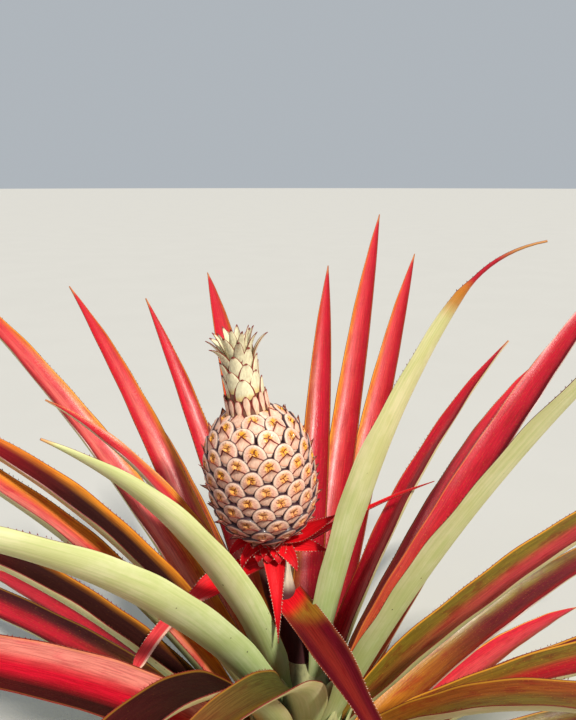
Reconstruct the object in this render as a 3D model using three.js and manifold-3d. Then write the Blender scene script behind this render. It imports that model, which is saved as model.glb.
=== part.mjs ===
// A pineapple plant with a young fruit, in millimetres, +Z up.
// The origin is at the centre of the flat cut under the stem, at ground level. +X is the plant's right
// and +Y its back, as it is seen from the front. Azimuths turn from +X towards +Y.
//
// The stout stem is wrapped in old leaf bases. Sword-shaped leaves grow out of it in a dense rosette, each
// one a gutter with its red upper face inside. A slender stalk rises out of the rosette's heart and leans to
// the left. It carries a few drooping stalk leaves, a ruff of small bracts, the fruit and the fruit's crown.

import * as THREE from "three";
import { mergeVertices } from "three/addons/utils/BufferGeometryUtils.js";
import Module from "manifold-3d";

const wasm = await Module();
wasm.setup();

const CLEARANCE = 0.3; // between neighbouring solids
const GOLDEN_ANGLE = 137.508; // degrees from one leaf, fruitlet or bract to the next

// Stem: radius at each height, from the cut at the ground to the rosette's heart.
const STEM_TOP = 222;
const STEM_PROFILE = [
  [0, 37],
  [18, 39],
  [55, 43],
  [110, 45],
  [150, 40],
  [180, 31],
  [205, 22],
  [STEM_TOP, 15],
];
const STEM_SIDES = 28;

// Fruit and stalk.
const FRUIT_LEAN = 10; // degrees to the left
const FRUIT_CENTRE = new THREE.Vector3(-34, 0, 400);
const FRUIT_HEIGHT = 112;
const FRUIT_CORE_RADIUS = 42;
const FRUIT_BULGE = 2.7; // how square the fruit's sides are
const FRUIT_SHOULDER = 2.1; // and how square its shoulders
const FRUITLETS = 110;
const FRUITLET_PROUD = 5; // how far a fruitlet stands out of the core
const FRUITLET_RADIUS = [12, 6]; // at its foot, inside the core, and at its face
const FRUITLET_AREA = [0.035, 0.975]; // shares of the side's area where the fruitlets start and end
const FRUIT_ENDS = [0.01, 0.99]; // shares of the height where the core starts and ends
const FRUIT_RINGS = 8;
const FRUIT_SIDES = 16;
const STALK_RADIUS = 14;
const STALK_SIDES = 14;
const STALK_STEPS = 8;
const STALK_UPRIGHT = 30; // how far the stalk's foot pulls it straight up
const STALK_SWING = new THREE.Vector2(-28, -60); // where its head pulls it: X, and Z from the fruit's base
const STALK_LEAF_STEPS = 8;
const STALK_LEAF_THICKNESS = 2.2;
const STALK_FOOT_SUNK = 6;
const BRACT_STEPS = 4;
const BRACT_THICKNESS = 1.6;

// Crown on the fruit.
const CROWN_HEIGHT = 70;
const CROWN_CORE = [
  [0, 18],
  [24, 16],
  [52, 6],
]; // radius at each height
const CROWN_SCALES = 38;
const SCALE_FOOT = [0.02, 0.6]; // heights of the lowest and highest foot, as shares of the crown's
const SCALE_RISE = [88, 74]; // elevations of the lowest and highest scales at their feet
const SCALE_TIP = [84, 36]; // and at their tips
const SCALE_LENGTH = [17, 38];
const SCALE_WIDTH = 21;
const SCALE_STEPS = 2;
const SCALE_THICKNESS = 1.6;
const SCALE_SUNK = 3; // how far a scale's foot starts inside the core

// Leaves.
const LEAF_STEPS = 11;
const OUTER_STEPS = 9;
const LEAF_CURL = 60; // half the angle that the gutter's section turns through at the foot, in degrees
const LEAF_UNCURL = 14; // how much flatter the section is at the tip
const LEAF_THICKNESS_SHARE = 0.0105; // midrib thickness over the length
const FOOT_SHARE = 0.55; // the blade's width at its foot over its full width
const FLOOR_SHARE = 0.42; // where the gutter's floor turns up into its walls
const FOOT_SUNK = 5; // how far a blade starts inside the stem before it is cut
const FOOT_FLARE = 3; // how soon the blade reaches its full width
const TAPER = 3.4; // how late it narrows to its tip
const TIP_THINNING = 0.45; // share of the thickness lost at the tip
const ROLL_SHARE = 0.4; // share of the blade in which its roll sets in
const HOOK_START = 0.84; // where a withered tip starts to bend over
const BEND = 1.5; // how late along the blade its droop sets in

// Every leaf: azimuth it grows in, elevation at its foot (rise) and its tip, length, width, height of its
// foot on the stem, and, where it has them, sweep to one side, roll about its own line, and hook of its
// withered tip.
const INNER_LEAVES = [
  { azimuth: 332, rise: 81, tip: 56, length: 445, width: 42, foot: 203, sweep: 8, roll: -25, hook: 44 },
  { azimuth: 322, rise: 67, tip: 50, length: 540, width: 50, foot: 158 },
  { azimuth: 223, rise: 71, tip: 35, length: 350, width: 40, foot: 190, sweep: -15, roll: 36 },
  { azimuth: 236, rise: 60, tip: 14, length: 500, width: 46, foot: 170, sweep: -28, roll: 40 },
  { azimuth: 170, rise: 71, tip: 26, length: 348, width: 30, foot: 182 },
  { azimuth: 129, rise: 62, tip: 48, length: 422, width: 32, foot: 165 },
  { azimuth: 83, rise: 58, tip: 45, length: 470, width: 36, foot: 165 },
  { azimuth: 22, rise: 71, tip: 45, length: 370, width: 30, foot: 178 },
  { azimuth: 275, rise: 66, tip: -20, length: 330, width: 44, foot: 158, sweep: -54 },
  { azimuth: 244, rise: 64, tip: -26, length: 405, width: 47, foot: 144 },
];
const MIDDLE_LEAVES = [
  { azimuth: 195, rise: 58, tip: 8, length: 570, width: 44, foot: 112 },
  { azimuth: 182, rise: 61, tip: 14, length: 510, width: 44, foot: 156 },
  { azimuth: 185, rise: 60, tip: 12, length: 600, width: 42, foot: 128 },
  { azimuth: 156, rise: 58, tip: 30, length: 600, width: 42, foot: 141 },
  { azimuth: 134, rise: 57, tip: 37, length: 540, width: 40, foot: 112 },
  { azimuth: 75, rise: 54, tip: 40, length: 610, width: 38, foot: 140 },
  { azimuth: 69, rise: 50, tip: 38, length: 600, width: 40, foot: 116 },
  { azimuth: 34, rise: 50, tip: 36, length: 640, width: 46, foot: 130 },
  { azimuth: 320, rise: 52, tip: -8, length: 450, width: 46, foot: 125 },
  { azimuth: 229, rise: 52, tip: 32, length: 480, width: 52, foot: 118, roll: -45 },
  { azimuth: 2, rise: 48, tip: 12, length: 590, width: 46, foot: 142 },
  { azimuth: 346, rise: 40, tip: -4, length: 570, width: 46, foot: 116 },
  { azimuth: 50, rise: 40, tip: 12, length: 620, width: 44, foot: 100 },
  { azimuth: 105, rise: 48, tip: 24, length: 600, width: 44, foot: 138 },
  { azimuth: 119, rise: 36, tip: 6, length: 600, width: 44, foot: 100 },
  { azimuth: 276, rise: 30, tip: -12, length: 480, width: 46, foot: 128 },
  { azimuth: 294, rise: 34, tip: -6, length: 500, width: 46, foot: 108 },
  { azimuth: 256, rise: 30, tip: -8, length: 500, width: 46, foot: 106 },
];

// The old leaves below them follow one another up the stem at the golden angle.
const OUTER_LEAVES = 19;
const OUTER_AZIMUTH = 40;
const OUTER_FOOT = [36, 102];
const OUTER_RISE = [9, 36];
const OUTER_TIP = [-12, -4];
const OUTER_LENGTH = [500, 600];
const OUTER_WIDTH = [42, 47];

// Stalk leaves, each from the stalk at the height of its foot.
const STALK_LEAVES = [
  { side: "front", azimuth: 298, rise: -4, tip: -32, length: 180, width: 29, foot: 287 },
  { side: "left", azimuth: 193.6, rise: -12, tip: -48, length: 140, width: 25, foot: 316, roll: -30, sweep: 37 },
  { side: "right", azimuth: 10, rise: 28, tip: 16, length: 150, width: 14, foot: 322 },
  { side: "hanging", azimuth: 277, rise: -35, tip: -100, length: 84, width: 20, foot: 328 },
  { side: "back", azimuth: 95, rise: 25, tip: -30, length: 140, width: 24, foot: 292 },
];

// The ruff of bracts right under the fruit.
const BRACTS = [
  { azimuth: 318, rise: 6, tip: -30, length: 44, width: 17 },
  { azimuth: 20, rise: 30, tip: 0, length: 40, width: 15 },
  { azimuth: 65, rise: 15, tip: -20, length: 42, width: 16 },
  { azimuth: 112, rise: 5, tip: -30, length: 42, width: 16 },
  { azimuth: 158, rise: -5, tip: -30, length: 40, width: 15 },
  { azimuth: 190, rise: -14, tip: -30, length: 44, width: 15 },
  { azimuth: 228, rise: -12, tip: -50, length: 42, width: 16 },
  { azimuth: 285, rise: -10, tip: -60, length: 30, width: 15 },
];
const BRACT_DEPTH = 7; // below the fruit

// A closed geometry as a solid.
function solidOf(geometry) {
  const bare = geometry.clone();
  bare.deleteAttribute("normal");
  bare.deleteAttribute("uv");
  const merged = mergeVertices(bare, 1e-4);
  return new wasm.Manifold(
    new wasm.Mesh({
      numProp: 3,
      vertProperties: merged.attributes.position.array,
      triVerts: new Uint32Array(merged.index.array),
    }),
  );
}

// The solid inside a body's outer skin, with the pockets sealed in it filled.
function outerSkin(solid) {
  return solid.decompose().reduce((largest, body) => (body.volume() > largest.volume() ? body : largest));
}

function geometryOf(solid) {
  const mesh = solid.getMesh();
  const geometry = new THREE.BufferGeometry();
  geometry.setAttribute("position", new THREE.BufferAttribute(mesh.vertProperties, 3));
  geometry.setIndex(new THREE.BufferAttribute(mesh.triVerts, 1));
  geometry.computeVertexNormals();
  return geometry;
}

function degrees(angle) {
  return THREE.MathUtils.degToRad(angle);
}

function direction(azimuth, elevation) {
  const a = degrees(azimuth);
  const e = degrees(elevation);
  return new THREE.Vector3(Math.cos(a) * Math.cos(e), Math.sin(a) * Math.cos(e), Math.sin(e));
}

function between([low, high], share) {
  return low + (high - low) * share;
}

// Radius of a profile of [height, radius] pairs at a height.
function radiusAt(profile, height) {
  for (let i = 1; i < profile.length; i++) {
    const [z0, r0] = profile[i - 1];
    const [z1, r1] = profile[i];
    if (height <= z1) return r0 + ((r1 - r0) * Math.max(0, height - z0)) / (z1 - z0);
  }
  return profile.at(-1)[1];
}

// A body turned about Z from [height, radius] pairs, closed on its axis at both ends.
function turned(profile, sides, grow = 0, growEnds = grow) {
  const points = profile.map(([z, r]) => new THREE.Vector2(r + grow, z));
  points[0].y -= growEnds;
  points.at(-1).y += growEnds;
  points.unshift(new THREE.Vector2(0, points[0].y));
  points.push(new THREE.Vector2(0, points.at(-1).y));
  return new THREE.LatheGeometry(points, sides).rotateX(Math.PI / 2);
}

// The middle line of a blade from its foot: points, and the side and upper directions at each.
function bladeLine(leaf, start, steps) {
  const line = [];
  const point = start.clone();
  const azimuthAt = (s) => leaf.azimuth + (leaf.sweep ?? 0) * s;
  const elevationAt = (s) => {
    const hooked = Math.max(0, (s - HOOK_START) / (1 - HOOK_START));
    return leaf.rise + (leaf.tip - leaf.rise) * s ** BEND - (leaf.hook ?? 0) * hooked;
  };
  for (let i = 0; i <= steps; i++) {
    const s = i / steps;
    const along = direction(azimuthAt(s), elevationAt(s));
    const roll = degrees((leaf.roll ?? 0) * Math.min(1, s / ROLL_SHARE));
    const side = direction(azimuthAt(s) + 90, 0).applyAxisAngle(along, roll);
    line.push({ s, point: point.clone(), side, up: along.clone().cross(side) });
    const middle = s + 0.5 / steps;
    point.addScaledVector(direction(azimuthAt(middle), elevationAt(middle)), leaf.length / steps);
  }
  return line;
}

function widthShare(s) {
  return Math.min(1, FOOT_SHARE + FOOT_FLARE * s) * (1 - s ** TAPER);
}

// A gutter-shaped blade along its line, six points to a ring, closed to a point at the tip.
function bladeGeometry(leaf, start, steps, thickness) {
  const positions = [];
  const line = bladeLine(leaf, start, steps);
  for (const { s, point, side, up } of line.slice(0, -1)) {
    const curl = degrees(LEAF_CURL - LEAF_UNCURL * s);
    const radius = (leaf.width * widthShare(s)) / 2 / curl;
    const thick = thickness * (1 - TIP_THINNING * s ** 3);
    const onSection = (share, below) => {
      const angle = share * curl;
      return point
        .clone()
        .addScaledVector(side, (radius + below) * Math.sin(angle))
        .addScaledVector(up, radius - (radius + below) * Math.cos(angle));
    };
    const floor = FLOOR_SHARE;
    const upper = [-1, -floor, floor, 1].map((share) => onSection(share, 0));
    const lower = [floor, -floor].map((share) => onSection(share, thick));
    for (const corner of [...upper, ...lower]) positions.push(...corner.toArray());
  }
  positions.push(...line.at(-1).point.toArray());
  const index = [0, 1, 5, 1, 2, 4, 1, 4, 5, 2, 3, 4];
  for (let i = 0; i < steps - 1; i++)
    for (let j = 0; j < 6; j++) {
      const a = 6 * i + j;
      const b = 6 * i + ((j + 1) % 6);
      index.push(a, a + 6, b + 6, a, b + 6, b);
    }
  const last = 6 * (steps - 1);
  for (let j = 0; j < 6; j++) index.push(last + j, last + 6, last + ((j + 1) % 6));
  const geometry = new THREE.BufferGeometry();
  geometry.setAttribute("position", new THREE.Float32BufferAttribute(positions, 3));
  geometry.setIndex(index);
  return geometry;
}

const stemRoom = solidOf(turned(STEM_PROFILE, STEM_SIDES, CLEARANCE));

// A rosette leaf, its foot cut to the stem's surface.
function rosetteLeaf(leaf, steps = LEAF_STEPS) {
  const foot = direction(leaf.azimuth, 0).multiplyScalar(radiusAt(STEM_PROFILE, leaf.foot) - FOOT_SUNK);
  foot.z = leaf.foot;
  const blade = bladeGeometry(leaf, foot, steps, leaf.length * LEAF_THICKNESS_SHARE);
  return solidOf(blade).subtract(stemRoom);
}

function outerLeaf(i) {
  const share = i / (OUTER_LEAVES - 1);
  const leaf = {
    azimuth: OUTER_AZIMUTH + GOLDEN_ANGLE * i,
    rise: between(OUTER_RISE, share),
    tip: between(OUTER_TIP, share),
    length: between(OUTER_LENGTH, share),
    width: between(OUTER_WIDTH, share),
    foot: between(OUTER_FOOT, share),
  };
  return rosetteLeaf(leaf, OUTER_STEPS);
}

// The stalk runs from the stem's top to the fruit's base, where it has the fruit's lean.
const fruitAxis = new THREE.Vector3(-Math.sin(degrees(FRUIT_LEAN)), 0, Math.cos(degrees(FRUIT_LEAN)));
const fruitBase = FRUIT_CENTRE.clone().addScaledVector(fruitAxis, -FRUIT_HEIGHT / 2);
const stalkLine = new THREE.CubicBezierCurve3(
  new THREE.Vector3(0, 0, STEM_TOP + CLEARANCE),
  new THREE.Vector3(0, 0, STEM_TOP + STALK_UPRIGHT),
  new THREE.Vector3(STALK_SWING.x, 0, fruitBase.z + STALK_SWING.y),
  fruitBase.clone().addScaledVector(fruitAxis, FRUIT_HEIGHT * FRUIT_ENDS[0]),
);

function stalkTube(radius) {
  const round = new THREE.Shape().absarc(0, 0, radius, 0, 2 * Math.PI);
  return solidOf(
    new THREE.ExtrudeGeometry(round, {
      steps: STALK_STEPS,
      curveSegments: STALK_SIDES,
      extrudePath: stalkLine,
    }),
  );
}

// The point on the stalk's middle line at a height.
function stalkPoint(height) {
  let low = 0;
  let high = 1;
  for (let i = 0; i < 24; i++) {
    const middle = (low + high) / 2;
    if (stalkLine.getPoint(middle).z < height) low = middle;
    else high = middle;
  }
  return stalkLine.getPoint(low);
}

// A blade that grows out of the stalk at a height.
function stalkBlade(leaf, height, steps, thickness) {
  const start = direction(leaf.azimuth, 0).multiplyScalar(STALK_RADIUS - STALK_FOOT_SUNK);
  return solidOf(bladeGeometry(leaf, start.add(stalkPoint(height)), steps, thickness));
}

// The stalk with its ruff, cut to clear the room the fruit needs.
function stalkSolid(room) {
  const height = fruitBase.z - BRACT_DEPTH;
  const bracts = BRACTS.map((bract) => stalkBlade(bract, height, BRACT_STEPS, BRACT_THICKNESS));
  return wasm.Manifold.union([stalkTube(STALK_RADIUS), ...bracts]).subtract(room);
}

// Radius of the fruit's core at a share of its height.
function fruitRadius(share) {
  return FRUIT_CORE_RADIUS * Math.max(0, 1 - Math.abs(2 * share - 1) ** FRUIT_BULGE) ** (1 / FRUIT_SHOULDER);
}

function fruitProfile() {
  return Array.from({ length: FRUIT_RINGS + 1 }, (_, i) => {
    const share = between(FRUIT_ENDS, i / FRUIT_RINGS);
    return [(share - 0.5) * FRUIT_HEIGHT, fruitRadius(share)];
  });
}

// Shares of the fruit's height that hold equal areas of its side, one for each fruitlet.
function fruitletShares() {
  const slices = 400;
  const areas = [0];
  for (let i = 0; i < slices; i++) {
    const r0 = fruitRadius(i / slices);
    const r1 = fruitRadius((i + 1) / slices);
    areas.push(areas[i] + (r0 + r1) * Math.hypot(r1 - r0, FRUIT_HEIGHT / slices));
  }
  return Array.from({ length: FRUITLETS }, (_, k) => {
    const wanted = areas.at(-1) * between(FRUITLET_AREA, k / (FRUITLETS - 1));
    return areas.findIndex((area) => area >= wanted) / slices;
  });
}

// The room that the fruit needs, clear of its fruitlets.
function fruitRoom() {
  const growEnds = FRUIT_HEIGHT * FRUIT_ENDS[0] + CLEARANCE;
  return turned(fruitProfile(), FRUIT_SIDES, FRUITLET_PROUD + 2, growEnds);
}

// One fruitlet, a six-sided boss standing out of the core along its normal.
function fruitlet(share, azimuth) {
  const slope = (fruitRadius(share + 0.01) - fruitRadius(share - 0.01)) / (0.02 * FRUIT_HEIGHT);
  const out = direction(azimuth, -THREE.MathUtils.radToDeg(Math.atan(slope)));
  const place = direction(azimuth, 0).multiplyScalar(fruitRadius(share));
  place.z = (share - 0.5) * FRUIT_HEIGHT;
  const height = 2 * FRUITLET_PROUD;
  const boss = new THREE.CylinderGeometry(FRUITLET_RADIUS[1], FRUITLET_RADIUS[0], height, 6);
  const turn = new THREE.Quaternion().setFromUnitVectors(new THREE.Vector3(0, 1, 0), out);
  return solidOf(boss.applyQuaternion(turn).translate(place.x, place.y, place.z));
}

function fruitSolid() {
  const core = solidOf(turned(fruitProfile(), FRUIT_SIDES));
  const fruitlets = fruitletShares().map((share, k) => fruitlet(share, GOLDEN_ANGLE * k));
  const ends = new THREE.CylinderGeometry(2 * FRUIT_CORE_RADIUS, 2 * FRUIT_CORE_RADIUS, FRUIT_HEIGHT);
  return wasm.Manifold.union([core, ...fruitlets]).intersect(solidOf(ends.rotateX(Math.PI / 2)));
}

// The crown: scales that clasp a short core, the upper ones longer and spread.
function crownSolid() {
  const scales = Array.from({ length: CROWN_SCALES }, (_, k) => {
    const share = k / (CROWN_SCALES - 1);
    const foot = CROWN_HEIGHT * between(SCALE_FOOT, share);
    const scale = {
      azimuth: GOLDEN_ANGLE * k,
      rise: between(SCALE_RISE, share),
      tip: between(SCALE_TIP, share),
      length: between(SCALE_LENGTH, share),
      width: SCALE_WIDTH,
    };
    const start = direction(scale.azimuth, 0).multiplyScalar(radiusAt(CROWN_CORE, foot) - SCALE_SUNK);
    start.z = foot;
    return solidOf(bladeGeometry(scale, start, SCALE_STEPS, SCALE_THICKNESS));
  });
  return outerSkin(wasm.Manifold.union([solidOf(turned(CROWN_CORE, STALK_SIDES)), ...scales]));
}

function meshOf(name, solid, material) {
  const mesh = new THREE.Mesh(geometryOf(solid), material);
  mesh.name = name;
  return mesh;
}

const stemMaterial = new THREE.MeshStandardMaterial({ color: 0x8a7448, roughness: 0.85 });
const leafMaterial = new THREE.MeshStandardMaterial({ color: 0xb03038, roughness: 0.45 });
const bractMaterial = new THREE.MeshStandardMaterial({ color: 0xc8141c, roughness: 0.4 });
const fruitMaterial = new THREE.MeshStandardMaterial({ color: 0xdcb08c, roughness: 0.6 });
const crownMaterial = new THREE.MeshStandardMaterial({ color: 0xd2caa0, roughness: 0.6 });

function fruitHead() {
  const head = new THREE.Group();
  head.position.copy(FRUIT_CENTRE);
  head.rotation.y = -degrees(FRUIT_LEAN);
  const crown = meshOf("crown", crownSolid(), crownMaterial);
  crown.position.z = FRUIT_HEIGHT / 2 + CLEARANCE;
  head.add(meshOf("fruit", fruitSolid(), fruitMaterial), crown);
  return head;
}

const plant = new THREE.Group();
plant.add(meshOf("stem", solidOf(turned(STEM_PROFILE, STEM_SIDES)), stemMaterial));
INNER_LEAVES.forEach((leaf, i) => {
  plant.add(meshOf(`inner_leaf_${i + 1}`, rosetteLeaf(leaf), leafMaterial));
});
MIDDLE_LEAVES.forEach((leaf, i) => {
  plant.add(meshOf(`middle_leaf_${i + 1}`, rosetteLeaf(leaf), leafMaterial));
});
for (let i = 0; i < OUTER_LEAVES; i++)
  plant.add(meshOf(`outer_leaf_${i + 1}`, outerLeaf(i), leafMaterial));

const head = fruitHead();
head.updateMatrix();
const stalk = stalkSolid(solidOf(fruitRoom().applyMatrix4(head.matrix)));
const stalkRoom = stalkTube(STALK_RADIUS + CLEARANCE);
plant.add(meshOf("stalk", stalk, bractMaterial), head);
for (const leaf of STALK_LEAVES) {
  const blade = stalkBlade(leaf, leaf.foot, STALK_LEAF_STEPS, STALK_LEAF_THICKNESS);
  plant.add(meshOf(`stalk_leaf_${leaf.side}`, blade.subtract(stalkRoom), bractMaterial));
}

export default plant;
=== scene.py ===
# A red-leaved pineapple plant with a young fruit: its looks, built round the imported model, in metres.
#
# Leaves, scales and bracts are all gutter-shaped blades along a line that starts out of the stem, the stalk
# or the crown's core at one elevation and ends at another. The fruit is a dark core covered with eyes, each
# as wide as its neighbours leave it room.

import math
from dataclasses import dataclass
from typing import Callable

import bpy
import numpy as np
from bpy.props import FloatProperty, FloatVectorProperty, IntProperty, PointerProperty
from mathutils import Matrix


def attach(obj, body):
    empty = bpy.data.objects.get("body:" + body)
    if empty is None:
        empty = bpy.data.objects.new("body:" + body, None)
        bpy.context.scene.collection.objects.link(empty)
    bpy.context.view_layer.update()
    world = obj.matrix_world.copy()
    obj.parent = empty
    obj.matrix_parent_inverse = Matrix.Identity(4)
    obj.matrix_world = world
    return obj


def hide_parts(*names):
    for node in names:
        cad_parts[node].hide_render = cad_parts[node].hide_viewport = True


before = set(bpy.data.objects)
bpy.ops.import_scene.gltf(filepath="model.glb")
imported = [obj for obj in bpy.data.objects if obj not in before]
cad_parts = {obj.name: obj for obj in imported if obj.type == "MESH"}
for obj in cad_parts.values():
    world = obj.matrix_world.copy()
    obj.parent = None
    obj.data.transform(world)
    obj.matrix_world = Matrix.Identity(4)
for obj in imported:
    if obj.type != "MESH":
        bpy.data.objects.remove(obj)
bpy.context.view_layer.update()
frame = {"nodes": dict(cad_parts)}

bl_info = {
    "name": "Pineapple Plant",
    "version": (1, 0, 0),
    "blender": (4, 5, 0),
    "location": "View3D > Sidebar > Plant",
    "description": "Grows the leaves, fruit and crown of a pineapple plant round its packed model",
    "category": "Add Mesh",
}

GOLDEN_ANGLE = 137.508  # degrees from one leaf, eye or scale to the next

# Tones that leaves, bracts and leaf bases take on.
TONES = {
    "crimson": (0.52, 0.005, 0.022),
    "rose": (0.58, 0.045, 0.050),
    # This pale pink is painted highlight: the gloss along a leaf's middle, and the band on middle leaf 10.
    "pink": (0.74, 0.24, 0.19),
    "gold": (0.62, 0.22, 0.014),
    "bronze": (0.36, 0.085, 0.012),
    "olive": (0.20, 0.14, 0.012),
    # This dark olive is partly the leaf's own tone and partly painted shade.
    "moss": (0.075, 0.075, 0.014),
    "maroon": (0.13, 0.005, 0.010),
    # This near-black is painted shade over a leaf's dark bronze, for leaves that lie in the shade of others.
    "umber": (0.025, 0.005, 0.004),
    "ruby": (0.30, 0.004, 0.01),
    "coral": (0.85, 0.16, 0.12),
    "amber": (0.26, 0.12, 0.012),
    "brick": (0.17, 0.012, 0.008),
    "wine": (0.09, 0.002, 0.008),
    "tan": (0.55, 0.22, 0.06),
    "shell": (0.85, 0.60, 0.45),
    "bark": (0.16, 0.09, 0.04),
}
DULL_TONES = {"umber", "moss"}  # leaves painted in shade with one of these have no shine
TONE_BLUR = 0.18  # half the width over which two tones run into each other

# Blades. A curl is half the angle that the section turns through, at the foot and at the tip, in degrees.
BEND = 1.5  # how late along a blade its droop sets in
ROLL_SHARE = 0.4  # share of a blade in which its roll sets in
HOOK_START = 0.84  # where a withered tip starts to bend over
HOOK_NARROWING = 0.55  # how much of its width a withered tip loses where it hooks over
HOOK_SLIMMING = (0.45, 0.3)  # where a leaf with a withered tip starts to be slimmer, and by how much
TIP_WIDTH = 0.0006
FOOT_SHARE = 0.55  # a leaf's width at the foot over its full width
FOOT_FLARE = 3  # how soon a blade reaches its full width
TAPER = 3.4  # how late a leaf narrows to its tip
LEAF_CURL = (60, 46)
LEAF_SUNK = 0.005  # how far a leaf starts inside the stem
CROWDING = 0.35  # how much closer a blade's columns stand at its margins
THINNING = (0.72, 0.45)  # how much thinner a blade is at its margins and at its tip
THINNEST = 0.02  # the least share of the thickness
RIPPLES = (0.021, 0.0093)  # lengths of the long and the short waves of a margin, over two pi
SHORT_RIPPLE = 0.6  # height of the short waves over that of the long ones
MAP_STEP = 0.37  # from one blade's flat map to the next's

# Spines, in shares of their length.
SPINE_LEAN = (0.62, 0.78)  # how far the point leans outwards and along the blade
SPINE_FOOT = (0.42, 0.14)  # half the length and half the height of the foot
SPINE_SUNK = 0.25  # how deep the foot stands in the blade
SPINE_VARIES = (0.7, 1.15)  # the shortest and the longest
SPINE_STRAY = 0.25  # how far a spine strays from its place, as a share of the spacing
SPINE_FADE = 6  # how late the spines get shorter towards the tip
SPINE_SEED = 1000
SPINE_FACES = np.array([(0, 1, 4), (1, 2, 4), (2, 3, 4), (3, 0, 4), (0, 3, 2), (0, 2, 1)])
LEAF_SPINES = (0.06, 0.97)  # shares of a leaf's length between which its spines stand
BRACT_SPINES = (0.12, 0.96)


@dataclass
class Blade:
    """A blade's line, its width and its colouring. Angles in degrees, lengths in metres."""

    azimuth: float
    rise: float
    tip: float
    length: float
    width: float
    foot: float = 0.0
    sweep: float = 0.0
    roll: float = 0.0
    hook: float = 0.0
    tones: str = "crimson rose crimson"  # of the upper face, from one margin to the other
    split: tuple = (0.45, 0.45)  # how far from the middle line the first and the last tone start
    base: str = "gold"  # its tone towards the foot
    golden: bool = True  # whether its margins are golden
    red: float = 0.7  # how red the upper face turns towards the tip
    gloss_stripe: float = 0.0  # how strong the painted pink highlight along its middle is
    flush: float = 0.25  # how red the underside turns towards its margins


@dataclass
class Tier:
    """Blades that follow one another at the golden angle, with the sizes of the lowest and of the highest."""

    azimuth: float  # of the lowest
    rise: tuple
    tip: tuple
    length: tuple
    width: tuple
    foot: tuple

    def blade(self, k, total, length=1, width=1, **colouring):
        """Blade k out of a total, its length and width in shares of a full one's where they are given."""
        ends = (self.rise, self.tip, self.length, self.width, self.foot)
        rise, tip, along, across, foot = (between(pair, k / (total - 1)) for pair in ends)
        azimuth = self.azimuth + GOLDEN_ANGLE * k
        return Blade(azimuth, rise, tip, length * along, width * across, foot, **colouring)


@dataclass
class Kind:
    """What blades of one kind share."""

    width: Callable  # share of the full width at each share of the length
    curl: tuple
    thickness: float
    rows: int
    columns: int
    ripple: float = 0.0  # how far the margins wave up and down


INNER_LEAVES = [
    Blade(332, 81, 56, 0.445, 0.042, 0.203, sweep=8, roll=-25, hook=44, flush=0.1),
    Blade(322, 67, 50, 0.540, 0.050, 0.158, tones="maroon rose bronze", flush=0.1),
    Blade(223, 71, 35, 0.350, 0.040, 0.190, sweep=-15, roll=36, flush=0.0),
    Blade(236, 60, 14, 0.500, 0.046, 0.170, sweep=-28, roll=40, flush=0.0),
    Blade(170, 71, 26, 0.348, 0.030, 0.182, tones="gold crimson maroon", split=(0.6, 0.1), gloss_stripe=0.3),
    Blade(129, 62, 48, 0.422, 0.032, 0.165, tones="bronze crimson crimson", split=(0.75, 0.4), gloss_stripe=0.4),
    Blade(83, 58, 45, 0.470, 0.036, 0.165, tones="crimson crimson bronze", base="maroon"),
    Blade(
        22, 71, 45, 0.370, 0.030, 0.178,
        tones="maroon crimson crimson", base="crimson", golden=False, gloss_stripe=0.5,
    ),
    # Painted shade, in part: inner leaf 9 is dark olive where it arches under the others.
    Blade(275, 66, -20, 0.330, 0.044, 0.158, sweep=-54, tones="moss moss olive", base="moss", red=0.2),
    # Painted shade: inner leaf 10 is near-black all over for the shade of the leaves above it.
    Blade(244, 64, -26, 0.405, 0.047, 0.144, tones="umber umber umber", base="umber", red=0.1),
]
MIDDLE_LEAVES = [
    # Painted shade: the near-black of these two leaves stands for the shade that the leaves above cast on
    # them.
    Blade(195, 58, 8, 0.570, 0.044, 0.112, tones="gold umber umber", split=(0.92, 0.4), base="umber"),
    Blade(182, 61, 14, 0.510, 0.044, 0.156, tones="gold umber umber", split=(0.76, 0.4), base="umber"),
    Blade(185, 60, 12, 0.600, 0.042, 0.128, tones="gold rose maroon", split=(0.55, 0.25), gloss_stripe=0.8),
    Blade(156, 58, 30, 0.600, 0.042, 0.141, tones="gold rose maroon", split=(0.7, 0.35), gloss_stripe=0.6),
    Blade(134, 57, 37, 0.540, 0.040, 0.112, tones="gold rose crimson", split=(0.75, 0.1), gloss_stripe=0.6),
    Blade(75, 54, 40, 0.610, 0.038, 0.140, tones="crimson rose gold", split=(0.2, 0.65), base="maroon"),
    Blade(69, 50, 38, 0.600, 0.040, 0.116, tones="crimson rose gold", split=(0.2, 0.65), base="maroon"),
    Blade(34, 50, 36, 0.640, 0.046, 0.130, tones="maroon crimson crimson", base="bronze", golden=False),
    Blade(320, 52, -8, 0.450, 0.046, 0.125, tones="crimson olive bronze"),
    # Painted light: the pale pink band along its upper margin is painted highlight, and the near-black
    # towards its lower margin is painted shade.
    Blade(
        229, 52, 32, 0.480, 0.052, 0.118, roll=-45,
        tones="pink crimson umber", split=(0.45, 0.15), red=0.15,
    ),
    Blade(2, 48, 12, 0.590, 0.046, 0.142, tones="maroon rose olive", base="olive"),
    Blade(346, 40, -4, 0.570, 0.046, 0.116, tones="maroon crimson olive", base="bronze"),
    Blade(50, 40, 12, 0.620, 0.044, 0.100, tones="maroon maroon crimson", base="bronze", golden=False),
    Blade(105, 48, 24, 0.600, 0.044, 0.138, tones="gold rose crimson", split=(0.7, 0.2)),
    Blade(119, 36, 6, 0.600, 0.044, 0.100, tones="bronze rose crimson"),
    Blade(276, 30, -12, 0.480, 0.046, 0.128, tones="bronze olive maroon"),
    Blade(294, 34, -6, 0.500, 0.046, 0.108, tones="maroon bronze olive"),
    Blade(256, 30, -8, 0.500, 0.046, 0.106, tones="olive maroon bronze"),
]

OUTER_LEAVES = 19
OUTER_TIER = Tier(40, (9, 36), (-12, -4), (0.500, 0.600), (0.042, 0.047), (0.036, 0.102))
OUTER_TONES = ["bronze rose crimson", "crimson maroon olive", "maroon crimson maroon", "olive bronze crimson"]

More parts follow.
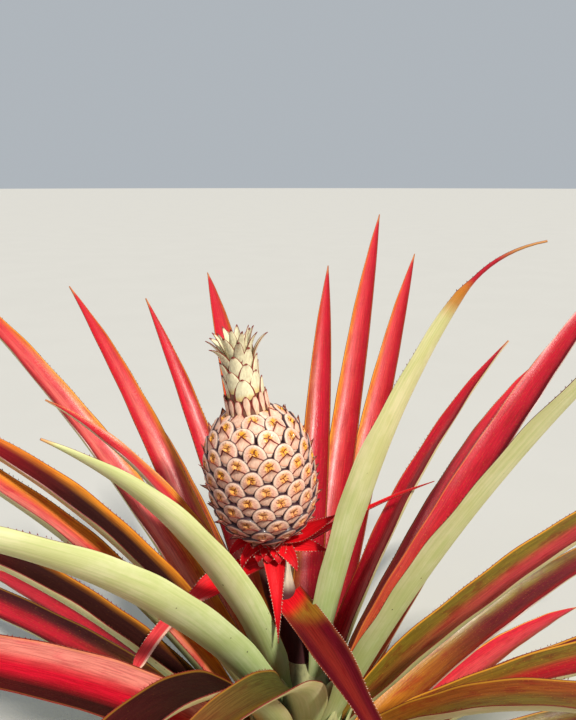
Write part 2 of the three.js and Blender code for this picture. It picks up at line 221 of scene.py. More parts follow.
# The stem's radius at each height, and the leaf bases round it.
STEM_PROFILE = np.array([
    (0, 0.037), (0.018, 0.039), (0.055, 0.043), (0.110, 0.045),
    (0.150, 0.040), (0.180, 0.031), (0.205, 0.022), (0.222, 0.015),
])
STEM_TOP = STEM_PROFILE[-1, 0]
BASE_SUNK = 0.001  # how far a leaf base starts inside the stem
BASE_THICKNESS = 0.0016
BASE_GRID = (12, 10)
OLD_BASE_CURL = (38, 30)
OLD_BASE_TIER = Tier(0, (80, 86), (58, 76), (0.8, 1.0), (1, 0.62), (0.004, 0.176))
CLASPING_CURL = (72, 60)
CLASPING_RISE = 89
CLASPING_TIP = 82
CLASPING_LENGTH = 0.048
CLASPING_WIDTH = 1.1  # over that of its leaf
CLASPING_DROP = 0.038  # from the leaf's foot down to its own

# The fruit's own frame: its centre, and its lean to the left.
FRUIT_LEAN = math.radians(10)
FRUIT_CENTRE = np.array((-0.034, 0, 0.400))
FRUIT_HEIGHT = 0.112
HEAD_X = np.array((math.cos(FRUIT_LEAN), 0, math.sin(FRUIT_LEAN)))
HEAD_Y = np.array((0, 1.0, 0))
HEAD_Z = np.cross(HEAD_X, HEAD_Y)
FRUIT_BASE = FRUIT_CENTRE - HEAD_Z * FRUIT_HEIGHT / 2

# The fruit's core.
FRUIT_RADIUS = 0.042
FRUIT_BULGE = 2.7
FRUIT_SHOULDER = 2.1

# The eyes.
EYES = 118
EYE_AREA = (0.035, 0.975)  # shares of the side's area where the eyes start and end
EYE_RINGS = np.array((0.12, 0.24, 0.36, 0.48, 0.60, 0.70, 0.79, 0.86, 0.91, 0.94, 0.965, 0.985, 1.0))
EYE_SIDES = 36
EYE_ANGLES = np.linspace(0, 2 * math.pi, EYE_SIDES, endpoint=False)
EYE_NEAR = 0.032  # how far from an eye its neighbours lie at most
ROOM_LIFT = 0.002  # how far over the core two eyes meet
ROOM_CORNERS = 24  # how sharp the corners of an eye's room are
EYE_REACH = 0.0155  # the most that an eye reaches into those corners
EYE_ARCH = 1.16  # radius of an eye's arched top, as a share of its room's
EYE_TUCKED = 1.18  # how far an eye's foot runs on under the eyes below it
EYE_UNEVEN = 0.028  # how far an eye's outline strays from its round form
EYE_TILT = 0.16  # how much the arched top of an eye stands out of its foot
EYE_EDGE = 30  # how late the skin of an eye turns down to its edge
EYE_CROWN = 0.10  # how much higher an eye is in the middle, as a share of its height
CORE_ROUNDNESS = 0.09  # twice the radius that an eye's skin follows
PIT = (0.0, 0.28)  # centre of an eye's pit, as a share of the eye's radius
PIT_RADIUS = 0.34
PIT_DEPTH = 0.36  # as shares of the eye's height
SEPAL_HEIGHT = 0.09
RIPENESS = (0.4, 1.25)  # of the lowest and the topmost eyes: how orange they are in the middle
RIPENESS_VARIES = (0.7, 1.1)
BRIGHTNESS = (0.90, 1.06)
EYE_TURN = 0.35  # how far the sepals are turned, in radians
EYE_SEED = 7
TURN_SEED = 11

# The small bract over the lower half of each eye, with its outline in shares of the eye's radius.
EYE_BRACT_GRID = (13, 9)
EYE_BRACT_FOOT = -1.04
EYE_BRACT_SHOULDER = -0.50
EYE_BRACT_POINT = 0.20
EYE_BRACT_SPREAD = 0.90  # half its width at the shoulder
EYE_BRACT_TIP = 0.012  # and at its point
EYE_BRACT_THICKNESS = 0.0006  # in metres
EYE_BRACT_LINE = 0.0056  # distance from its edge, in metres, at which the place across it is 0
BRACT_LIFTS = (0.6, 1.35)  # the least and the most lifted, over the usual lift
BRACT_LEAN = 0.10  # how far a bract's point leans to a side

# The stalk, its leaves and the ruff of bracts under the fruit.
STALK_RADIUS = 0.014
STALK_UPRIGHT = 0.030  # how far the stalk's foot pulls it straight up
STALK_SWING = np.array((-0.028, 0, FRUIT_BASE[2] - 0.060))  # where its head pulls it
STALK_POINTS = np.array(
    [(0, 0, STEM_TOP), (0, 0, STEM_TOP + STALK_UPRIGHT), STALK_SWING, FRUIT_BASE + HEAD_Z * 0.001]
)
STALK_FOOT_SUNK = 0.006
STALK_SUNLIT = (0.285, 0.300)  # heights, plus half the distance to the right, between which painted sunlight turns it cream
BRACT_CURL = (36, 38)
BRACT_COLUMNS = 12
BRACT_RIPPLE = 0.0003
STALK_LEAF_ROWS = 40
STALK_LEAVES = {
    "front": Blade(298, -4, -32, 0.180, 0.034, 0.287),
    "left": Blade(193.6, -12, -48, 0.140, 0.025, 0.316, roll=-30, sweep=37),
    "right": Blade(10, 28, 16, 0.150, 0.014, 0.322),
    "hanging": Blade(277, -35, -98, 0.078, 0.024, 0.330),
    "back": Blade(95, 25, -30, 0.140, 0.024, 0.292),
}
RUFF_DEPTH = 0.007  # below the fruit
RUFF_ROWS = 18
RUFF_SEED = 50
RUFF = [
    Blade(338, 28, 44, 0.060, 0.019, roll=55),
    Blade(342, 2, -12, 0.042, 0.018, roll=60),
    Blade(308, -8, -60, 0.032, 0.018, roll=25),
    Blade(20, 20, 0, 0.036, 0.016),
    Blade(65, 15, -20, 0.036, 0.016),
    Blade(112, 5, -30, 0.036, 0.016),
    Blade(158, 0, -40, 0.036, 0.015),
    Blade(196, 14, -85, 0.038, 0.016, roll=-30),
    Blade(220, 4, -95, 0.034, 0.016, roll=-20),
    Blade(240, -10, -75, 0.020, 0.022),
    Blade(262, -15, -80, 0.018, 0.024),
    Blade(286, -10, -75, 0.020, 0.022),
]

# The crown, in the fruit's frame from its top: the core's radius at each height, and the scales round it.
CROWN_PROFILE = np.array([(0, 0.0185), (0.009, 0.0170), (0.015, 0.0150), (0.026, 0.0140), (0.052, 0.006)])
NECK_BRACTS = 17
NECK_CURL = (14, 24)
NECK_RISE = 91
NECK_TIP = 88
NECK_LENGTH = (0.0160, 0.0014)  # its mean, and how far it strays from that
NECK_STEP = 0.0015  # height of every other bract's foot over the next one's
NECK_SWAY = 4  # degrees by which a bract strays from its even place round the neck
BROAD_SCALES = 20
BROAD_TIER = Tier(0, (90, 84), (84, 66), (0.0175, 0.024), (1, 0.84), (0.011, 0.034))
TOP_SCALES = 17
TOP_AZIMUTH = GOLDEN_ANGLE * BROAD_SCALES
TOP_TIER = Tier(TOP_AZIMUTH, (78, 84), (24, 72), (0.034, 0.026), (0.60, 0.46), (0.034, 0.047))
SCALE_CURL = (32, 36)
SCALE_THICKNESS = 0.0009
SCALE_GRID = (18, 12)
SCALE_SUNK = 0.0008

# The floor, the sun and the camera that took the photo.
FLOOR_RADIUS = 60
SUN_PLACE = (1.4, -1.1, 2.6)
SUN_TURN = (math.radians(34), math.radians(28), 0)
SUN_COLOUR = (1.0, 0.95, 0.86)
CAMERA_PLACE = (-0.011, -0.551, 0.640)
CAMERA_PITCH = 14.4  # degrees below the horizon
CAMERA_LENS = 35  # mm
CAMERA_SENSOR = 36  # mm, along the picture's longer side


# Properties

def number(name, default, text, **limits):
    """A number that the user can change."""
    return FloatProperty(name=name, description=text, default=default, min=0, **limits)


def size(name, default, text):
    """A length that the user can change."""
    return number(name, default, text, unit="LENGTH", precision=4)


def count(name, default, text):
    """A number of rows, columns or pieces."""
    return IntProperty(name=name, description=text, default=default, min=2)


def colour(name, default, text):
    """A colour that the user can change."""
    return FloatVectorProperty(name=name, description=text, default=default, subtype="COLOR", min=0, max=1)


class LeafSettings(bpy.types.PropertyGroup):
    """Sizes and colours of the rosette's leaves."""

    rows: count("Rows", 64, "Steps along a leaf")
    columns: count("Columns", 14, "Steps across a leaf")
    thickness: size("Thickness", 0.0026, "Thickness at the middle of a leaf")
    spine_length: size("Spine length", 0.0013, "How far a spine stands out of the margin")
    spine_spacing: size("Spine spacing", 0.0046, "From one spine to the next")
    ripple: size("Ripple", 0.0006, "How far the margins wave up and down")
    tip: colour("Tip", (0.55, 0.004, 0.020), "Upper face towards the tip")
    gold: colour("Gold", (0.80, 0.36, 0.03), "Golden margins and specks")
    underside: colour("Underside", (0.66, 0.68, 0.30), "Waxy lower face")
    # Greener and darker towards the foot: partly the fresh tone there, partly painted shade.
    sap_and_shade: colour("Sap", (0.34, 0.48, 0.18), "Lower face towards the foot")
    blush: colour("Blush", (0.52, 0.10, 0.09), "Flush of the lower face at its margins and tip")
    straw: colour("Straw", (0.80, 0.76, 0.34), "Leaf that withers from its tip")
    withered: colour("Withered", (0.66, 0.30, 0.09), "Dry tips")
    spine: colour("Spine", (0.22, 0.022, 0.016), "Spines and the edge they stand on")


class StemSettings(bpy.types.PropertyGroup):
    """Sizes and colours of the stem and the old leaf bases round it."""

    bases: count("Leaf bases", 64, "Old leaf bases clasping the stem")
    length: size("Length", 0.052, "Length of a leaf base")
    width: size("Width", 0.056, "Width of a leaf base")
    pale: colour("Pale", (0.54, 0.60, 0.28), "Fresh leaf bases near the top")
    straw: colour("Straw", (0.42, 0.33, 0.14), "Dry leaf bases near the ground")
    bark: colour("Bark", (0.16, 0.11, 0.05), "Stem under the leaf bases")


class StalkSettings(bpy.types.PropertyGroup):
    """Colours of the stalk, its leaves and the ruff under the fruit."""

    # Cream is painted sunlight on the stalk's upper right side; the dark purple is its own tone and also
    # painted shade elsewhere.
    cream: colour("Cream", (0.82, 0.72, 0.54), "Stalk where it is pale")
    purple: colour("Purple", (0.070, 0.020, 0.024), "Stalk where it is dark")
    scarlet: colour("Scarlet", (0.68, 0.007, 0.013), "Bracts and stalk leaves")
    pale_spine: colour("Pale spine", (0.80, 0.55, 0.42), "Fine spines of the bracts")
    spine_length: size("Spine length", 0.0011, "How far a bract's spine stands out")
    spine_spacing: size("Spine spacing", 0.0024, "From one spine to the next")
    thickness: size("Thickness", 0.0011, "Thickness of a bract")


class FruitSettings(bpy.types.PropertyGroup):
    """Sizes and colours of the fruit."""

    proud: size("Proud", 0.0042, "How far an eye stands out of the core")
    fill: number("Fill", 0.995, "Share of its room that an eye fills", max=1)
    lift: size("Bract lift", 0.0036, "How far the point of an eye's bract stands off the eye")
    cream: colour("Cream", (0.84, 0.46, 0.33), "Eyes")
    # Painted highlight: this pale line stands for the light along an eye's raised rim.
    rim: colour("Rim", (0.90, 0.64, 0.49), "Pale line round an eye")
    orange: colour("Orange", (0.95, 0.46, 0.02), "Middle of an eye")
    flush: colour("Flush", (0.82, 0.34, 0.18), "Bracts of the topmost eyes")
    # Near-black between the eyes: the grooves' own dark tone and painted shade in them.
    groove: colour("Groove", (0.040, 0.014, 0.022), "Grooves between the eyes")
    edge: colour("Edge", (0.18, 0.018, 0.014), "Thin edges of the bracts and lines of the eyes")


class CrownSettings(bpy.types.PropertyGroup):
    """Sizes and colours of the fruit's crown."""

    scale_width: size("Scale width", 0.0185, "Width of the lowest scales")
    neck_width: size("Neck width", 0.0080, "Width of the upright bracts at the neck")
    pale: colour("Pale green", (0.82, 0.78, 0.52), "Scales")
    pink: colour("Pink", (0.88, 0.58, 0.42), "Bracts at the neck")
    yellow: colour("Yellow", (0.72, 0.52, 0.16), "Feet of the scales")
    edge: colour("Edge", (0.22, 0.026, 0.016), "Margins and tips of the scales")
    shade: colour("Shade", (0.16, 0.06, 0.03), "Core between the scales")


class StageSettings(bpy.types.PropertyGroup):
    """The floor and the light."""

    floor: colour("Floor", (0.54, 0.53, 0.50), "Floor")
    sky: colour("Sky", (0.86, 0.93, 1.0), "Light from all round")
    sky_strength: number("Sky strength", 0.5, "Strength of the light from all round")
    sun_strength: number("Sun strength", 4.2, "Strength of the sun")
    sun_softness: number("Sun softness", math.radians(6), "Angle that the sun covers", subtype="ANGLE")


# Places and colours

def direction(azimuth, elevation):
    """Unit vectors for azimuths and elevations in degrees."""
    a, e = np.broadcast_arrays(np.radians(azimuth), np.radians(elevation))
    return np.stack([np.cos(a) * np.cos(e), np.sin(a) * np.cos(e), np.sin(e)], -1)


def between(ends, share):
    return ends[0] + (ends[1] - ends[0]) * share


def smooth(value, low, high):
    """0 below low, 1 above high, and a smooth step between them."""
    t = np.clip((value - low) / (high - low), 0, 1)
    return t * t * (3 - 2 * t)


def foot_on(profile, blade, sunk):
    """Where a blade starts on a turned body, a little under its skin."""
    start = direction(blade.azimuth, 0) * (np.interp(blade.foot, *profile.T) - sunk)
    start[2] = blade.foot
    return start


def in_head(points):
    """Points of the fruit's own frame in the plant's frame."""
    return FRUIT_CENTRE + points @ np.array([HEAD_X, HEAD_Y, HEAD_Z])


def layered(tone, *layers):
    """A colour with others over it, each given with the share that it covers, for all points or for each."""
    for over, share in layers:
        share = np.asarray(share)[..., None]
        tone = np.asarray(tone) * (1 - share) + np.asarray(over) * share
    return tone


# Pieces

def select(*pieces):
    """Selects pieces and nothing else, the first of them active."""
    bpy.ops.object.select_all(action="DESELECT")
    for piece in pieces:
        piece.select_set(True)
    bpy.context.view_layer.objects.active = pieces[0]


def mesh_piece(name, points, faces=(), edges=()):
    """A new piece from points, with faces or with edges alone."""
    mesh = bpy.data.meshes.new(name)
    mesh.from_pydata(points, edges, faces)
    piece = bpy.data.objects.new(name, mesh)
    bpy.context.collection.objects.link(piece)
    select(piece)
    return piece


def join(name, pieces):
    """Joins pieces into the first of them, under a name."""
    select(*pieces)
    bpy.ops.object.join()
    pieces[0].name = name
    return pieces[0]


def numbers(items, key):
    """The three numbers that each item holds under a key, a row for each."""
    values = np.empty(len(items) * 3)
    items.foreach_get(key, values)
    return values.reshape(-1, 3)


def store(piece, name, vectors):
    """Stores a vector for each point."""
    piece.data.attributes.new(name, "FLOAT_VECTOR", "POINT").data.foreach_set("vector", np.ravel(vectors))


def paint(piece, colours):
    """Stores one colour for each point."""
    shade = np.ones((len(piece.data.vertices), 4))
    shade[:, :3] = colours
    piece.data.attributes.new("tint", "FLOAT_COLOR", "POINT").data.foreach_set("color", shade.ravel())


def dress(piece, *materials):
    """Puts materials in a piece's slots."""
    for index, material in enumerate(materials):
        if index < len(piece.data.materials):
            piece.data.materials[index] = material
        else:
            piece.data.materials.append(material)


def seat(piece, slot, *nodes):
    """A piece rides on the root body and stands for CAD nodes, which it hides; its slot is not used."""
    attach(piece, "root")
    if nodes:
        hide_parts(*nodes)


def move_to_head(piece, lift=0.0):
    """Moves a piece made about the origin into the fruit's frame."""
    points = numbers(piece.data.vertices, "co") + (0, 0, lift)
    piece.data.vertices.foreach_set("co", in_head(points).ravel())
    piece.data.update()


def add_turned(name, profile, sides=48):
    """A closed body turned about Z from [height, radius] pairs, made with a Screw modifier."""
    points = [(0, 0, profile[0][0])] + [(r, 0, z) for z, r in profile] + [(0, 0, profile[-1][0])]
    piece = mesh_piece(name, points, edges=[(i, i + 1) for i in range(len(points) - 1)])
    screw = piece.modifiers.new("Turn", "SCREW")
    screw.steps = screw.render_steps = sides
    screw.use_merge_vertices = True
    bpy.ops.object.modifier_apply(modifier=screw.name)
    bpy.ops.object.mode_set(mode="EDIT")
    bpy.ops.mesh.select_all(action="SELECT")
    bpy.ops.mesh.normals_make_consistent(inside=False)
    bpy.ops.object.mode_set(mode="OBJECT")
    bpy.ops.object.shade_smooth_by_angle(angle=math.radians(50))
    return piece


# Blades

def leaf_width(s):
    return np.minimum(1, FOOT_SHARE + FOOT_FLARE * s) * (1 - s**TAPER)


def bract_width(s):
    return np.minimum(1, 0.7 + FOOT_FLARE * s) * np.maximum(0, 1 - s) ** 0.8


def ruff_width(s):
    return np.minimum(1, 0.75 + 2 * s) * np.maximum(0, 1 - s**1.8) ** 0.9


def hanging_width(s):
    return np.maximum(0, 1 - s) ** 1.25


def strap_width(s):
    return (1 - 0.45 * smooth(s, 0.4, 0.75)) * (1 - s**9)


def blunt_width(s):
    return (1 - 0.52 * smooth(s, 0.32, 0.52)) * (1 - s**40)


def petal_width(s):
    return (0.55 + 0.45 * smooth(s, 0.1, 0.6)) * np.maximum(0, 1 - s**4) ** 0.7


def scale_width(s):
    return np.minimum(1, (1 + 0.9 * s) * np.maximum(0, 1 - s) ** 0.75)


def hooked(s):
    """How far along a hooked tip the shares s lie: 0 before it and 1 at its end."""
    return np.clip((s - HOOK_START) / (1 - HOOK_START), 0, None)


def blade_line(blade, start, shares):
    """Points of a blade's middle line at shares of its length, and its along, side and upper directions."""
    fine = np.linspace(0, 1, 257)
    middle = (fine[:-1] + fine[1:]) / 2

    def heading(s):
        elevation = blade.rise + (blade.tip - blade.rise) * s**BEND - blade.hook * hooked(s)
        return direction(blade.azimuth + blade.sweep * s, elevation)

    steps = heading(middle) * blade.length / len(middle)
    points = start + np.vstack([np.zeros(3), np.cumsum(steps, axis=0)])
    place = np.stack([np.interp(shares, fine, points[:, i]) for i in range(3)], -1)
    along = heading(shares)
    level = direction(blade.azimuth + blade.sweep * shares + 90, 0)
    roll = np.radians(blade.roll * np.minimum(1, shares / ROLL_SHARE))[:, None]
    side = level * np.cos(roll) + np.cross(along, level) * np.sin(roll)
    return place, along, side, np.cross(along, side)


def section(blade, kind, s):
    """Radius and half angle of a blade's section at the shares s of its length."""
    half_angle = np.radians(between(kind.curl, s))
    width = blade.width * kind.width(s)
    if blade.hook:
        slim_from, slimming = HOOK_SLIMMING
        width *= 1 - slimming * smooth(s, slim_from, HOOK_START)
        width *= 1 - HOOK_NARROWING * smooth(hooked(s), 0, 0.25)
    return np.maximum(TIP_WIDTH, width) / 2 / half_angle, half_angle


def on_blade(blade, start, kind, shares, across):
    """Points of a blade's upper face, with the ways along it, across it and up from its middle line."""
    place, along, side, up = blade_line(blade, start, shares)
    radius, half_angle = section(blade, kind, shares)
    angle = (across * half_angle)[:, None]
    radius = radius[:, None]
    points = place + side * radius * np.sin(angle) + up * radius * (1 - np.cos(angle))
    return points, along, side * np.cos(angle) + up * np.sin(angle), up


def add_blade(name, blade, start, kind, seed):
    """A thin blade, modelled from a grid that is bent to the blade's section and given its thickness.

    Its materials are the upper face, the lower face and the margin. Returns the piece and, for each of its
    points, the share of the length and the place across, from -1 to 1. The upper face's points come first.
    """
    bpy.ops.mesh.primitive_grid_add(x_subdivisions=kind.columns, y_subdivisions=kind.rows, size=2)
    piece = bpy.context.object
    piece.name = name
    mesh = piece.data
    x, y, _ = numbers(mesh.vertices, "co").T
    across = -x * (1 + CROWDING - CROWDING * x**2)
    share = (y + 1) / 2
    surface, _, _, up = on_blade(blade, start, kind, share, across)
    phase = np.random.default_rng(seed).uniform(0, 2 * math.pi, 2)
    hand = (across > 0).astype(int)
    wave = np.sin(share * blade.length / RIPPLES[0] + phase[hand])
    wave += SHORT_RIPPLE * np.sin(share * blade.length / RIPPLES[1] + phase[1 - hand])
    surface += up * (kind.ripple * wave * np.abs(across) ** 3 * smooth(1 - share, 0, 0.2))[:, None]
    mesh.vertices.foreach_set("co", surface.ravel())
    corners = np.empty(len(mesh.loops), dtype=np.int32)
    mesh.loops.foreach_get("vertex_index", corners)
    flat_map = np.stack([across * blade.width / 2, share * blade.length], -1) + seed * MAP_STEP
    mesh.uv_layers.active.data.foreach_set("uv", flat_map[corners].ravel())
    store(piece, "where", np.stack([across, share, 0 * share], -1))
    thicken(piece, kind.thickness, share, across)
    across, share, _ = numbers(piece.data.attributes["where"].data, "vector").T
    return piece, share, across


def thicken(piece, thickness, share, across):
    """Gives a blade its thickness, which runs out towards the margins and the tip."""
    group = piece.vertex_groups.new(name="thickness")
    weight = (1 - THINNING[0] * np.abs(across) ** 2.5) * (1 - THINNING[1] * share**3)
    for index, value in enumerate(weight):
        group.add([index], float(value), "REPLACE")
    solid = piece.modifiers.new("Thickness", "SOLIDIFY")
    solid.thickness = thickness
    solid.offset = -1
    solid.vertex_group = group.name
    solid.thickness_vertex_group = THINNEST
    solid.material_offset = 1
    solid.material_offset_rim = 2
    for _ in range(3):
        piece.data.materials.append(None)
    bpy.ops.object.modifier_apply(modifier=solid.name)
    piece.vertex_groups.clear()
    bpy.ops.object.shade_smooth_by_angle(angle=math.radians(55))


def spine_corners(blade, start, kind, settings, ends, seed):
    """Corner points of the spines along both margins: four at the foot of each and one at its point."""
    draw = np.random.default_rng(SPINE_SEED + seed)
    length, spacing = settings.spine_length, settings.spine_spacing
    total = int(blade.length * (ends[1] - ends[0]) / spacing)
    a, b = SPINE_FOOT
    spines = []
    for hand in (-1, 1):
        stray = draw.uniform(-SPINE_STRAY, SPINE_STRAY, total) * spacing / blade.length
        shares = np.linspace(*ends, total) + stray
        margin, along, outward, _ = on_blade(blade, start, kind, shares, hand)
        outward = hand * outward
        normal = np.cross(along, outward)
        reach = draw.uniform(*SPINE_VARIES, total) * np.minimum(1, (1 - shares) * SPINE_FADE)
        reach = length * reach[:, None]
        foot = margin - outward * length * SPINE_SUNK
        corners = [
            foot + along * i * reach + normal * j * length for i, j in ((-a, -b), (a, -b), (a, b), (-a, b))
        ]
        point = margin + (outward * SPINE_LEAN[0] + along * SPINE_LEAN[1]) * reach
        spines.append(np.stack([*corners, point], axis=1))
    return np.concatenate(spines).reshape(-1, 3)


def add_spines(piece, corners, material_index):
    """Joins spines to a blade."""
    total = len(corners) // 5
    faces = (SPINE_FACES + 5 * np.arange(total)[:, None, None]).reshape(-1, 3)
    spines = mesh_piece(piece.name + "_spines", corners, faces)
    spines.data.uv_layers.new(name=piece.data.uv_layers.active.name)
    dress(spines, *piece.data.materials)
    spines.data.polygons.foreach_set("material_index", [material_index] * len(faces))
    join(piece.name, [piece, spines])


# Materials

class Skin:
    """A material in the making, with short ways to add its nodes."""

    def __init__(self, name):
        self.material = bpy.data.materials.new(name)
        self.material.use_nodes = True
        self.tree = self.material.node_tree
        self.tree.nodes.clear()

    def node(self, kind, inputs=None, **settings):
        """A node with its settings, and its inputs set to values or linked to outputs."""
        made = self.tree.nodes.new(kind)
        for key, value in settings.items():
            setattr(made, key, value)
        for key, value in (inputs or {}).items():
            if isinstance(value, bpy.types.NodeSocket):
                self.tree.links.new(value, made.inputs[key])
            else:
                made.inputs[key].default_value = value
        return made

    def attribute(self, name, output="Vector"):
        return self.node("ShaderNodeAttribute", attribute_name=name).outputs[output]

    def parts(self, vector):
        return self.node("ShaderNodeSeparateXYZ", {"Vector": vector}).outputs

    def mix(self, factor, first, second, blend="MIX"):
        """A mix of two colours, each plain or an output."""
        pair = [c if isinstance(c, bpy.types.NodeSocket) else rgba(c) for c in (first, second)]
        inputs = {0: factor, 6: pair[0], 7: pair[1]}
        return self.node("ShaderNodeMix", inputs, data_type="RGBA", blend_type=blend).outputs[2]

    def ramp(self, value, low, high, start=0.0, end=1.0):
        """A smooth step of a value between two levels."""
        inputs = {"Value": value, "From Min": low, "From Max": high, "To Min": start, "To Max": end}
        return self.node("ShaderNodeMapRange", inputs, interpolation_type="SMOOTHSTEP").outputs["Result"]

    def maths(self, operation, first, second=0.0):
        return self.node("ShaderNodeMath", {0: first, 1: second}, operation=operation).outputs[0]

    def stretch(self, vector, scale):
        return self.node("ShaderNodeMapping", {"Vector": vector, "Scale": scale}).outputs["Vector"]

    def noise(self, vector, scale, detail=3.0, roughness=0.55):
        """Noise with one scale, or with one for each axis."""
        if isinstance(scale, tuple):
            vector, scale = self.stretch(vector, scale), 1.0
        inputs = {"Vector": vector, "Scale": scale, "Detail": detail, "Roughness": roughness}
        return self.node("ShaderNodeTexNoise", inputs).outputs["Fac"]

    def flat(self):
        """A blade's own flat map, in metres."""
        return self.node("ShaderNodeUVMap").outputs["UV"]

    def grain(self, scale, detail=4.0):
        """Noise in the piece's own space."""
        return self.noise(self.node("ShaderNodeTexCoord").outputs["Object"], scale, detail)

    def where(self):
        """How far a point lies from the middle line, 1 at the margin, and its share of the length."""
        parts = self.parts(self.attribute("where"))
        return self.maths("ABSOLUTE", parts["X"]), parts["Y"]

    def painted(self, pattern, dark, light, low=0.3, high=0.7):
        """The painted tint, darker and lighter with a pattern."""
        shade = self.mix(self.ramp(pattern, low, high), dark, light)
        return self.mix(1.0, self.attribute("tint", "Color"), shade, "MULTIPLY")

    def finish(self, base, roughness, bump, depth, **constants):
        """The surface: a principled shader, with constants set on its own sockets. Returns the material."""
        relief = self.node("ShaderNodeBump", {"Height": bump, "Distance": depth, "Strength": 1.0})
        inputs = {"Base Color": base, "Roughness": roughness, "Normal": relief.outputs["Normal"]}
        inputs.update({key.replace("_", " "): value for key, value in constants.items()})
        surface = self.node("ShaderNodeBsdfPrincipled", inputs)
        self.node("ShaderNodeOutputMaterial", {"Surface": surface.outputs["BSDF"]})
        return self.material


def rgba(tone):
    return (*tone, 1.0)


def upper_material(name, settings, margin, rough=0.34, shine=0.3, coat=0.15, speckled=0.3, mottled=0.7):
    """Upper face: the painted tint with fibres and red mottling, golden specks and a coloured margin."""
    skin = Skin(name)
    flat = skin.flat()
    fibres = skin.noise(flat, (900, 30, 1), 2.0)
    mottling = skin.noise(flat, (120, 30, 1), 5.0, 0.65)
    specks = skin.noise(flat, (1200, 420, 1), 1.0)
    out, _ = skin.where()
    base = skin.painted(fibres, (0.78, 0.70, 0.70), (1.10, 1.08, 1.08), 0.35, 0.65)
    reddened = skin.mix(1.0, base, (0.82, 0.26, 0.45), "MULTIPLY")
    base = skin.mix(skin.ramp(mottling, 0.48, 0.64, 0, mottled), base, reddened)
    base = skin.mix(skin.ramp(specks, 0.65, 0.73, 0, speckled), base, settings.gold)
    base = skin.mix(skin.ramp(out, 0.90, 0.95, 0, margin), base, settings.gold)
    base = skin.mix(skin.ramp(out, 0.965, 0.99), base, settings.spine)
    roughness = skin.ramp(mottling, 0.3, 0.7, rough - 0.06, rough + 0.12)
    relief = skin.maths("ADD", fibres, specks)
    gloss = {"Specular_IOR_Level": shine, "Coat_Weight": coat, "Coat_Roughness": 0.28}
    return skin.finish(base, roughness, relief, 0.0002, **gloss)


def under_material(name):
    """Waxy lower face: pale bloom over fine parallel veins, and dark specks."""
    skin = Skin(name)
    flat = skin.flat()
    veins = skin.noise(flat, (700, 12, 1), 2.0)
    bloom = skin.noise(flat, (60, 24, 1), 5.0, 0.65)
    base = skin.painted(veins, (1.0, 1.0, 1.0), (0.84, 0.90, 0.78))
    waxy = skin.mix(1.0, base, (1.16, 1.10, 1.36), "MULTIPLY")
    base = skin.mix(skin.ramp(bloom, 0.38, 0.66), base, waxy)
    spots = skin.stretch(flat, (150, 110, 1))
    cells = skin.node("ShaderNodeTexVoronoi", {"Vector": spots, "Scale": 1.0}).outputs
    near = skin.ramp(cells["Distance"], 0.05, 0.11, 1, 0)
    chance = skin.node("ShaderNodeSeparateColor", {"Color": cells["Color"]}).outputs[0]
    specks = skin.maths("MULTIPLY", near, skin.ramp(chance, 0.80, 0.86))
    base = skin.mix(specks, base, (0.06, 0.05, 0.02))
    return skin.finish(base, skin.ramp(bloom, 0.3, 0.7, 0.42, 0.62), veins, 0.00015)


def tinted_material(name, roughness, scale, strength, depth):
    """A painted tint with a fine grain."""
    skin = Skin(name)
    grain = skin.grain(scale)
    base = skin.painted(grain, (1 - strength,) * 3, (1 + strength * 0.4,) * 3)
    return skin.finish(base, roughness, grain, depth)


def edged_material(name, edge, start, end):
    """A painted tint with a thin dark line along a blade's margins and at its point."""
    skin = Skin(name)
    grain = skin.grain((600, 600, 200))
    out, share = skin.where()
    base = skin.painted(grain, (0.80, 0.76, 0.74), (1.08, 1.07, 1.05))
    line = skin.maths("MAXIMUM", skin.ramp(out, start, end), skin.ramp(share, 0.90, 0.95))
    return skin.finish(skin.mix(line, base, edge), 0.48, grain, 0.0002)


def eye_material(name, edge):
    """An eye's skin: the painted tint, dark lines between the sepals and dark points round the pit."""
    skin = Skin(name)
    inside = skin.attribute("in_eye")
    parts = skin.parts(inside)
    squares = [skin.maths("POWER", parts[axis], 2.0) for axis in "XY"]
    reach = skin.maths("SQRT", skin.maths("ADD", *squares))
    turned = skin.maths("ARCTAN2", parts["Y"], parts["X"])
    third = skin.maths("SUBTRACT", skin.maths("MULTIPLY", turned, 1.5), math.pi / 4)
    spread = skin.maths("MULTIPLY", skin.maths("ABSOLUTE", skin.maths("SINE", third)), reach)
    seam = skin.maths("MULTIPLY", skin.ramp(spread, 0.03, 0.09, 1, 0), skin.ramp(reach, 0.34, 0.5, 1, 0))
    points = skin.ramp(skin.noise(inside, 5.0, 2.0), 0.56, 0.62)
    points = skin.maths("MULTIPLY", points, skin.ramp(reach, 0.40, 0.75, 0.9, 0))
    grain = skin.grain((700, 700, 700))
    base = skin.painted(grain, (0.82, 0.76, 0.74), (1.08, 1.06, 1.05))
    base = skin.mix(skin.maths("MAXIMUM", seam, points), base, edge)
    return skin.finish(base, 0.42, grain, 0.0002, Coat_Weight=0.15)


def plain_material(name, tone, roughness, scale=400.0, strength=0.3):
    """One colour, with a fine grain of light and dark in it."""
    skin = Skin(name)
    grain = skin.grain(scale, 3.0)
    dark = [c * (1 - strength) for c in tone]
    return skin.finish(skin.mix(skin.ramp(grain, 0.3, 0.7), dark, tone), roughness, grain, 0.0001)


# Leaves

def rosette():
    """Every leaf with the name of its CAD node."""
    tones = [OUTER_TONES[k % len(OUTER_TONES)] for k in range(OUTER_LEAVES)]
    outer = [OUTER_TIER.blade(k, OUTER_LEAVES, tones=tones[k]) for k in range(OUTER_LEAVES)]
    tiers = {"inner": INNER_LEAVES, "middle": MIDDLE_LEAVES, "outer": outer}
    return {f"{tier}_leaf_{k + 1}": leaf for tier, leaves in tiers.items() for k, leaf in enumerate(leaves)}


